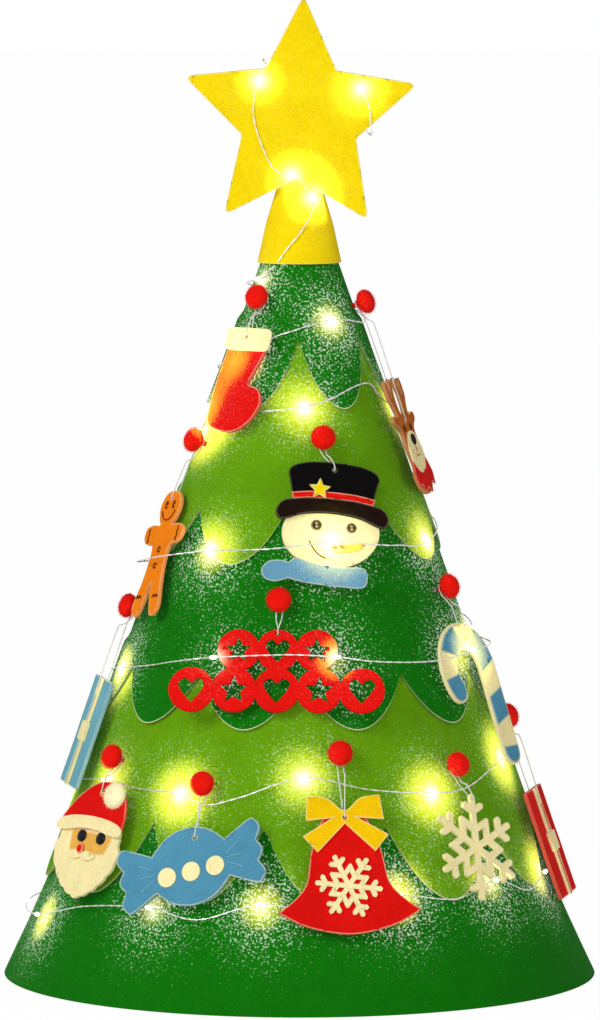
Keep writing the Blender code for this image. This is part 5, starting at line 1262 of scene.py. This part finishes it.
# Garland
# Two rows of linked medallions cut from one piece of red felt, with stars and hearts cut out.
UPPER_RADIUS, UPPER_PITCH, UPPER_COUNT, UPPER_DEPTH = 0.0148, 0.0275, 3, 0.0362
LOWER_RADIUS, LOWER_PITCH, LOWER_COUNT, LOWER_DEPTH = 0.0160, 0.0300, 5, 0.0648
CUT_OUT_SHARE, CUT_STAR_NOTCH_SHARE = 0.66, 0.46
GARLAND_HOLE_INSET = 0.0032
GARLAND_CUTS = 30
HEART_SHARES = ((0, 0.42, 1), (0.42, 0.80), (0.86, 0.50), (0.70, -0.06), (0, -0.88, 1))
plane = hung_plane("garland")
hole = (0, -UPPER_DEPTH + UPPER_RADIUS - GARLAND_HOLE_INSET)
medallion_rows = (
    (UPPER_RADIUS, UPPER_PITCH, UPPER_COUNT, UPPER_DEPTH, 0),
    (LOWER_RADIUS, LOWER_PITCH, LOWER_COUNT, LOWER_DEPTH, 1),
)
discs, cuts = [], [disc(hole, HOLE_RADIUS)]
for radius, pitch, count, depth, first in medallion_rows:
    for k in range(count):
        middle = (pitch * (k - (count - 1) / 2), -depth)
        discs.append(disc(middle, radius, 48))
        cut_radius = radius * CUT_OUT_SHARE
        if (k + first) % 2:
            cuts.append(smooth(spread(mirrored(HEART_SHARES), cut_radius, cut_radius, middle), 5))
        else:
            cuts.append(star_points(middle, cut_radius, cut_radius * CUT_STAR_NOTCH_SHARE))


def slab(name, outline, low, high):
    """A plain solid of an outline, to join or to cut with."""
    bm = bmesh.new()
    face = bm.faces.new([bm.verts.new((x, y, low)) for x, y in outline])
    grown = bmesh.ops.extrude_face_region(bm, geom=[face], use_keep_orig=True)
    top = [item for item in grown["geom"] if isinstance(item, bmesh.types.BMVert)]
    bmesh.ops.translate(bm, verts=top, vec=(0, 0, high - low))
    bmesh.ops.recalc_face_normals(bm, faces=bm.faces)
    return placed(name, mesh_of(name, bm))


low, high = PLATE_LIFT, PLATE_LIFT + ORNAMENT_FELT
blank = slab("garland_blank", discs[0], low, high)
tools = [(slab(f"garland_join_{k}", d, low, high), "UNION") for k, d in enumerate(discs[1:])]
tools += [
    (slab(f"garland_cut_{k}", c, low - TRIM_FELT, high + TRIM_FELT), "DIFFERENCE")
    for k, c in enumerate(cuts)
]
for tool, operation in tools:
    step = blank.modifiers.new(tool.name, "BOOLEAN")
    step.operation, step.solver, step.object = operation, "EXACT", tool
done = blank.evaluated_get(bpy.context.evaluated_depsgraph_get()).to_mesh()
bm = bmesh.new()
bm.from_mesh(done)
for spare in (blank, *[tool for tool, operation in tools]):
    bpy.data.objects.remove(spare, do_unlink=True)
for axis in (Vector((1, 0, 0)), Vector((0, 1, 0))):
    for k in range(-GARLAND_CUTS, GARLAND_CUTS + 1):
        cut_across(bm, axis * (k * FELT_GRAIN + LAY_GAP / 3), axis, FELT_GRAIN / 200)
bmesh.ops.remove_doubles(bm, verts=bm.verts, dist=FELT_GRAIN / 100)
bmesh.ops.transform(bm, matrix=plane, verts=bm.verts)
settle("garland_felt", bm, red_felt, "garland", ["garland_medallions"], 0.0004)
hang("garland", hole)


# Candy cane
# A crook of pale felt with bands of blue felt glued round its front.
CANE_BEND_RADIUS, CANE_WIDTH, CANE_SHAFT, CANE_DROP = 0.0245, 0.020, 0.0625, 0.027
CANE_HOOK_DEG, CANE_SHIFT = 212, -0.0077
CANE_STEPS = 60
STRIPE_PITCH, STRIPE_WIDTH, STRIPE_SLANT, STRIPE_INSET = 0.0400, 0.0210, -0.0060, 0.0012
bend = (CANE_SHIFT, -CANE_DROP - CANE_BEND_RADIUS - CANE_WIDTH / 2)
line = []
for step in range(CANE_STEPS + 1):
    turn = math.radians(CANE_HOOK_DEG * (1 - step / CANE_STEPS))
    line.append(
        Vector((bend[0] + CANE_BEND_RADIUS * math.cos(turn), bend[1] + CANE_BEND_RADIUS * math.sin(turn)))
    )
foot = Vector((bend[0] + CANE_BEND_RADIUS, bend[1] - CANE_SHAFT))
line += [line[-1].lerp(foot, k / 40) for k in range(1, 41)]
ways = [0.0]
for a, b in zip(line, line[1:]):
    ways.append(ways[-1] + (b - a).length)


def on_cane(way, across):
    """Point on the cane, a way along its middle line and across it."""
    way = min(max(way, 0.0), ways[-1] - 1e-6)
    i = next(k for k in range(len(ways) - 1) if ways[k + 1] > way)
    t = (way - ways[i]) / (ways[i + 1] - ways[i])
    here = line[i].lerp(line[i + 1], t)
    along = (line[i + 1] - line[i]).normalized()
    return (here.x - along.y * across, here.y + along.x * across)


def cane_band(first, final, half, slant):
    """Outline of a band across the cane, from one way along it to another."""
    steps = max(2, round((final - first) / 0.002))
    left = [on_cane(first + slant + (final - first) * k / steps, half) for k in range(steps + 1)]
    right = [on_cane(first - slant + (final - first) * k / steps, -half) for k in range(steps + 1)]
    return [*left, *reversed(right)]


def round_end(way, half):
    """Half circle of points over an end of the cane. The half width is negative at the hook's end."""
    middle, edge = Vector(on_cane(way, 0)), Vector(on_cane(way, half))
    reach = edge - middle
    return [tuple(middle + Matrix.Rotation(-math.pi * k / 12, 2) @ reach) for k in range(1, 12)]


half = CANE_WIDTH / 2
left = [on_cane(way, half) for way in ways]
right = [on_cane(way, -half) for way in reversed(ways)]
crook = [*left, *round_end(ways[-1], half), *right, *round_end(0.0, -half)]
hole = (0.0, bend[1] + math.sqrt(CANE_BEND_RADIUS**2 - CANE_SHIFT**2))
cane_low = PLATE_LIFT + CANE_STANDOFF
layer_on("candy_cane", "felt", crook, cream_felt, cane_low, ORNAMENT_FELT, "crook", [disc(hole, HOLE_RADIUS)])
cane_top = cane_low + ORNAMENT_FELT + TOUCH
half -= STRIPE_INSET
for k in range(5):
    first, final = STRIPE_PITCH * k - STRIPE_WIDTH / 2, STRIPE_PITCH * k + STRIPE_WIDTH / 2
    if k == 0:
        outline = [*cane_band(0.0, final, half, 0), *round_end(0.0, -half)]
    elif final > ways[-1]:
        side = cane_band(first, ways[-1], half, 0)
        outline = [*side[: len(side) // 2], *round_end(ways[-1], half), *side[len(side) // 2:]]
    else:
        outline = cane_band(first, final, half, STRIPE_SLANT / 2)
    layer_on("candy_cane", f"band_{k + 1}", outline, blue_felt, cane_top, THIN_FELT / 2)
hang("candy_cane", hole, cane_low, cane_low + ORNAMENT_FELT)


# Santa
# A pale beard that carries a patch of face, with a red hat, its rolled trim and a fluffy bobble.
SANTA_WIDTH, SANTA_HEIGHT, SANTA_DEPTH = 0.072, 0.058, 0.045
SANTA_HAT_WIDTH, SANTA_HAT_HEIGHT, SANTA_HAT_DEPTH = 0.070, 0.035, 0.0185
SANTA_HOLE = (0.0020, -0.0270)
SANTA_STANDOFF, SANTA_SHIFT = 0.0008, -0.0009
SANTA_FACE_SHARES = (
    (0, 0), (0.30, -0.02), (0.44, -0.10), (0.46, -0.26), (0.50, -0.42), (0.46, -0.58), (0.38, -0.72),
    (0.26, -0.86), (0.13, -0.95), (0, -1.0),
)
SANTA_HAT_SHARES = (
    (-0.50, -1.0, 1), (-0.47, -0.78), (-0.30, -0.36), (-0.06, -0.05), (0.22, 0.0), (0.42, -0.24),
    (0.50, -0.62), (0.50, -1.0, 1),
)
BEARD_WAVE = 0.0011
TRIM_SHARES = (
    (0, 0.0062), (0.018, 0.0052), (0.031, 0.0026), (0.0365, -0.0012), (0.0350, -0.0058), (0.026, -0.0060),
    (0.013, -0.0038), (0, -0.0030),
)
BOBBLE_PLACE, BOBBLE_RADIUS, BOBBLE_HALF_DEPTH, BOBBLE_ENDS = (0.0215, -0.0278), 0.0098, 0.0064, 420
PATCH = ((-0.0215, -0.0545), (0.0255, -0.0565), (0.0200, -0.0700), (0.0060, -0.0712), (-0.0195, -0.0705))
EYES = (("left", (-0.0083, -0.0590)), ("right", (0.0134, -0.0590)))
EYE_WIDE, EYE_HIGH, EYE_DOME = 0.0047, 0.0043, 0.0014
NOSE_PLACE, NOSE_RADIUS, NOSE_DOME = (-0.0055, -0.0683), 0.0035, 0.0018
MOUSTACHE_PLACE, MOUSTACHE_WIDTH, MOUSTACHE_HEIGHT = (-0.0045, -0.0728), 0.0310, 0.0068
skin_felt = felt("tan_felt_fibres", (0.800, 0.430, 0.075, 1))
eye_black, shader, start = finish("glossy_black_button")
rough = 0.20 + start.noise(400, 2) * 0.12
feed(shader, Base_Color=(0.004, 0.004, 0.006, 1), Roughness=rough, Specular_IOR_Level=0.10)
plane = hung_plane("santa")
beard = smooth(spread(mirrored(SANTA_FACE_SHARES), SANTA_WIDTH, SANTA_HEIGHT, (SANTA_SHIFT, -SANTA_DEPTH)), 8)
middle = Vector((SANTA_SHIFT, -SANTA_DEPTH - SANTA_HEIGHT / 2))
wavy = []
for i, (x, y) in enumerate(beard):
    away = Vector((x, y)) - middle
    wave = BEARD_WAVE * abs(math.sin(math.atan2(away.y, away.x) * 9)) if y < -SANTA_DEPTH - 0.012 else 0.0
    wavy.append(tuple(middle + away * (1 + (wave - BEARD_WAVE / 2) / away.length)))
layer_on("santa", "face_felt", wavy, cream_felt, PLATE_LIFT + SANTA_STANDOFF, ORNAMENT_FELT, "face")
hat = smooth(spread(SANTA_HAT_SHARES, SANTA_HAT_WIDTH, SANTA_HAT_HEIGHT, (SANTA_SHIFT, -SANTA_HAT_DEPTH)))
layer_on(
    "santa", "hat_felt", hat, red_felt, TRIM_LIFT + SANTA_STANDOFF, TRIM_FELT, "hat",
    [disc(SANTA_HOLE, HOLE_RADIUS)],
)
hat_top = TRIM_TOP + SANTA_STANDOFF + TOUCH
trim_middle = (SANTA_SHIFT, -SANTA_HAT_DEPTH - SANTA_HAT_HEIGHT + 0.0030)
trim = smooth([(x + trim_middle[0], y + trim_middle[1]) for x, y in mirrored(TRIM_SHARES)], 5)
layer_on("santa", "trim_felt", trim, cream_felt, hat_top, THIN_FELT * 1.3, dome=0.0004)
bm = bmesh.new()
ball = Matrix.Translation((*BOBBLE_PLACE, hat_top + BOBBLE_HALF_DEPTH * 0.55))
ball = ball @ Matrix.Diagonal((1, 1, BOBBLE_HALF_DEPTH / BOBBLE_RADIUS, 1))
bmesh.ops.create_uvsphere(bm, u_segments=24, v_segments=16, radius=BOBBLE_RADIUS * WOOL_SHARE, matrix=ball)
wool_ends(bm, ball, BOBBLE_RADIUS, BOBBLE_ENDS, 5.0)
bmesh.ops.transform(bm, matrix=plane, verts=bm.verts)
cream_wool = felt("cream_wool", (0.930, 0.840, 0.520, 1), 1.05)
settle("santa_bobble_wool", bm, cream_wool, "santa", [], 0)
face_front = PLATE_LIFT + SANTA_STANDOFF + ORNAMENT_FELT + TOUCH
patch = rounded(PATCH, 0.0030, 5)
layer_on("santa", "face_patch", patch, skin_felt, face_front, THIN_FELT / 2)
patch_front = face_front + THIN_FELT / 2 + TOUCH
for side, eye in EYES:
    layer_on(
        "santa", f"eye_{side}", oval(eye, EYE_WIDE, EYE_HIGH, 24), eye_black, patch_front, THIN_FELT,
        dome=EYE_DOME,
    )
moustache = smooth(
    spread(
        mirrored(
            ((0, 0.30), (0.22, 0.55), (0.48, 0.20), (0.50, -0.15), (0.30, -0.45), (0.10, -0.40), (0, -0.20))
        ),
        MOUSTACHE_WIDTH, MOUSTACHE_HEIGHT, MOUSTACHE_PLACE,
    ),
    5,
)
layer_on("santa", "moustache_felt", moustache, cream_felt, patch_front, THIN_FELT / 2, dome=0.0005)
layer_on(
    "santa", "nose_felt", disc(NOSE_PLACE, NOSE_RADIUS, 24), red_wool, patch_front + THIN_FELT / 2 + TOUCH,
    THIN_FELT, dome=NOSE_DOME,
)
hang("santa", SANTA_HOLE, TRIM_LIFT + SANTA_STANDOFF, TRIM_TOP + SANTA_STANDOFF)


# Wrapped candy
# Blue felt with scalloped wings, and a row of three pale dots on it.
CANDY_WIDTH, CANDY_HEIGHT, CANDY_DEPTH, CANDY_TILT_DEG = 0.110, 0.056, 0.0590, 17
CANDY_HOLE_RISE = 0.0205
CANDY_DOT_RADIUS, CANDY_DOT_PITCH = 0.0070, 0.0185
CANDY_SHARES = (
    (0, 0.5), (0.145, 0.43), (0.255, 0.24, 1), (0.43, 0.41), (0.478, 0.38), (0.50, 0.27), (0.462, 0.135, 1),
    (0.50, 0), (0.462, -0.135, 1), (0.50, -0.27), (0.478, -0.38), (0.43, -0.41), (0.255, -0.24, 1),
    (0.145, -0.43), (0, -0.5),
)
hole = (0, -CANDY_DEPTH + CANDY_HOLE_RISE)
wrapper = turned(smooth(mirrored(spread(CANDY_SHARES, CANDY_WIDTH, CANDY_HEIGHT)), 7), CANDY_TILT_DEG)
layer_on(
    "candy", "wrapper_felt", [(x, y - CANDY_DEPTH) for x, y in wrapper], blue_felt, *PLATE, "wrapper",
    [disc(hole, HOLE_RADIUS)],
)
for k in range(3):
    dot = turned([((k - 1) * CANDY_DOT_PITCH, -0.004)], CANDY_TILT_DEG)[0]
    layer_on(
        "candy", f"dot_{k + 1}", disc((dot[0], dot[1] - CANDY_DEPTH), CANDY_DOT_RADIUS, 36), cream_felt,
        PLATE_FRONT, THIN_FELT,
    )
creases = []
for side in (-1, 1):
    for lean in (-0.10, 0.0, 0.10):
        near = (side * 0.255 * CANDY_WIDTH, lean * 0.6 * CANDY_HEIGHT)
        far = (side * 0.355 * CANDY_WIDTH, lean * 1.7 * CANDY_HEIGHT)
        creases.append([(x, y - CANDY_DEPTH) for x, y in turned([near, far], CANDY_TILT_DEG)])
pale_blue_thread = felt("pale_blue_thread", (0.250, 0.480, 0.600, 1))
stitches("candy", "creases", creases, PLATE_LIFT + ORNAMENT_FELT, pale_blue_thread, 0.0003)
hang("candy", hole)


# Bell
# Red felt with a yellow bow over its top and a pale snowflake on its front.
BELL_WIDTH, BELL_HEIGHT, BELL_TOP = 0.101, 0.088, 0.0405
BOW_WIDTH, BOW_HEIGHT, BOW_TOP = 0.061, 0.040, 0.0303
BELL_HOLE_DEPTH = 0.0460
BELL_FLAKE_RADIUS, BELL_FLAKE_WIDTH, BELL_FLAKE_DEPTH, BELL_FLAKE_TURN_DEG = 0.0238, 0.0034, 0.0945, 23
BELL_SHARES = (
    (0, 0), (0.13, -0.045), (0.215, -0.21), (0.255, -0.38), (0.29, -0.58), (0.37, -0.70), (0.50, -0.815, 1),
    (0.30, -0.935), (0, -1.0),
)
BOW_SHARES = (
    (0, -0.27), (0.19, -0.05), (0.42, 0.0, 1), (0.455, -0.44, 1), (0.15, -0.40, 1), (0.50, -0.71, 1),
    (0.335, -1.0, 1), (0, -0.50, 1),
)
CELL_SHARE = 0.33
BRANCH_SHARES = ((0.68, 0.24),)
BRANCH_SLANT_DEG = 60
BRANCH_TIP, ARM_TIP_LENGTH, ARM_TIP_WIDTH = 0.8, 0.6, 0.4
KNOB_SHARE, KNOB_WIDTH = 0.6, 0.45


def snowflake(radius, width, turn_deg):
    """Outline of a snowflake and its six cells. Each arm has a pair of slanting branches, and below
    them a pair that meets those of the next arms."""
    half = width / 2
    slant = math.radians(BRANCH_SLANT_DEG)
    along = Vector((math.cos(slant), math.sin(slant)))
    side = Vector((-math.sin(slant), math.cos(slant)))
    between = Vector((math.cos(slant / 2), math.sin(slant / 2)))
    cell = CELL_SHARE * radius
    low, high = half * (1 - along.x) / along.y, half * (1 + along.x) / along.y
    meet = between * (2 * cell * math.cos(slant / 2) + width * KNOB_SHARE)
    arm = [
        meet + Vector((between.y, -between.x)) * half * KNOB_WIDTH,
        Vector((cell, 0)) - side * half + along * high,
    ]
    for root_share, length_share in BRANCH_SHARES:
        root, length = Vector((root_share * radius, 0)), length_share * radius
        arm += [
            root + side * half + along * low, root + side * half + along * length,
            root + along * (length + half * BRANCH_TIP), root - side * half + along * length,
            root - side * half + along * high,
        ]
    arm += [Vector((radius - half * ARM_TIP_LENGTH, half)), Vector((radius, half * ARM_TIP_WIDTH))]
    both = [(p.x, -p.y) for p in arm] + [(p.x, p.y) for p in reversed(arm)]
    made, cells = [], []
    inner = (cell - 2 * half / math.sin(slant)) / 2
    rhombus = [
        between * width, between * width + Vector((2 * inner, 0)),
        between * width + Vector((2 * inner, 0)) + along * 2 * inner, between * width + along * 2 * inner,
    ]
    for k in range(6):
        made += turned(both, 90 + turn_deg + 60 * k)
        cells.append(turned(rhombus, 90 + turn_deg + 60 * k))
    return made, cells


hole = (0, -BELL_HOLE_DEPTH)
bell = smooth(mirrored(spread(BELL_SHARES, BELL_WIDTH, BELL_HEIGHT, (0, -BELL_TOP))), 7)
layer_on("bell", "body_felt", bell, red_felt, *PLATE, "body", [disc(hole, HOLE_RADIUS)])
golden_felt = felt("golden_felt_fibres", (0.880, 0.540, 0.0020, 1))
bow = smooth(mirrored(spread(BOW_SHARES, BOW_WIDTH, BOW_HEIGHT, (0, -BOW_TOP))), 6)
layer_on("bell", "bow_felt", bow, golden_felt, *TRIM, "bow", [disc(hole, HOLE_RADIUS)])
flake, cells = snowflake(BELL_FLAKE_RADIUS, BELL_FLAKE_WIDTH, BELL_FLAKE_TURN_DEG)
flake, *cells = [[(x, y - BELL_FLAKE_DEPTH) for x, y in loop] for loop in (flake, *cells)]
layer_on("bell", "snowflake_felt", flake, cream_felt, *TRIM, "snowflake", cells)
hang("bell", hole, PLATE_LIFT, TRIM_TOP)


# Snowflake
# Thick pale felt with six branched arms.
FLAKE_RADIUS, FLAKE_WIDTH, FLAKE_DEPTH, FLAKE_TURN_DEG = 0.0385, 0.0048, 0.0600, -10
FLAKE_HOLE_RADIUS, FLAKE_HOLE_INSET = 0.0011, 0.0034
hole = turned([(0, FLAKE_RADIUS - FLAKE_HOLE_INSET)], FLAKE_TURN_DEG)[0]
hole = (hole[0], hole[1] - FLAKE_DEPTH)
flake, cells = snowflake(FLAKE_RADIUS, FLAKE_WIDTH, FLAKE_TURN_DEG)
flake, *cells = [[(x, y - FLAKE_DEPTH) for x, y in loop] for loop in (flake, *cells)]
layer_on("snowflake", "felt", flake, cream_felt, *PLATE, "plate", [disc(hole, FLAKE_HOLE_RADIUS), *cells])
hang("snowflake", hole)


# Seam strips, battery box and cells
# The strips are woven tape with tiny hooks and loops. The box is moulded in satin black plastic,
# and the cells in it have a plain jacket.
hook_tape, shader, start = finish("hook_and_loop_tape")
place = start.node("TexCoord", output="Object")
hooks = start.node("TexVoronoi", sockets={"Vector": place, "Scale": 1100})
tape = start.mix(hooks, (0.012, 0.110, 0.016, 1), (0.030, 0.200, 0.035, 1))
feed(shader, Base_Color=tape, Roughness=0.85, Normal=start.bump(hooks, 0.6, 0.0006))

black_plastic, shader, start = finish("satin_black_plastic")
smears = start.noise(60, 3)
tone = start.mix(smears, (0.018, 0.018, 0.019, 1), (0.032, 0.032, 0.034, 1))
bump = start.bump(start.noise(2200, 2), 0.12, 0.0002)
feed(shader, Base_Color=tone, Roughness=0.32 + smears * 0.18, Normal=bump)

cell_jacket, shader, start = finish("plain_cell_jacket")
smears = start.noise(90, 3)
tone = start.mix(smears, (0.24, 0.25, 0.27, 1), (0.36, 0.37, 0.39, 1))
feed(shader, Base_Color=tone, Roughness=0.25 + smears * 0.2, Metallic=0.5)

for node, look in (
    ("seam_hook_strip", hook_tape), ("seam_loop_strip", hook_tape), ("battery_case", black_plastic),
    ("battery_lid", black_plastic), ("switch_knob", black_plastic),
    ("cell_1", cell_jacket), ("cell_2", cell_jacket),
):
    for shown in frame["nodes"][node].material_slots:
        shown.material = look
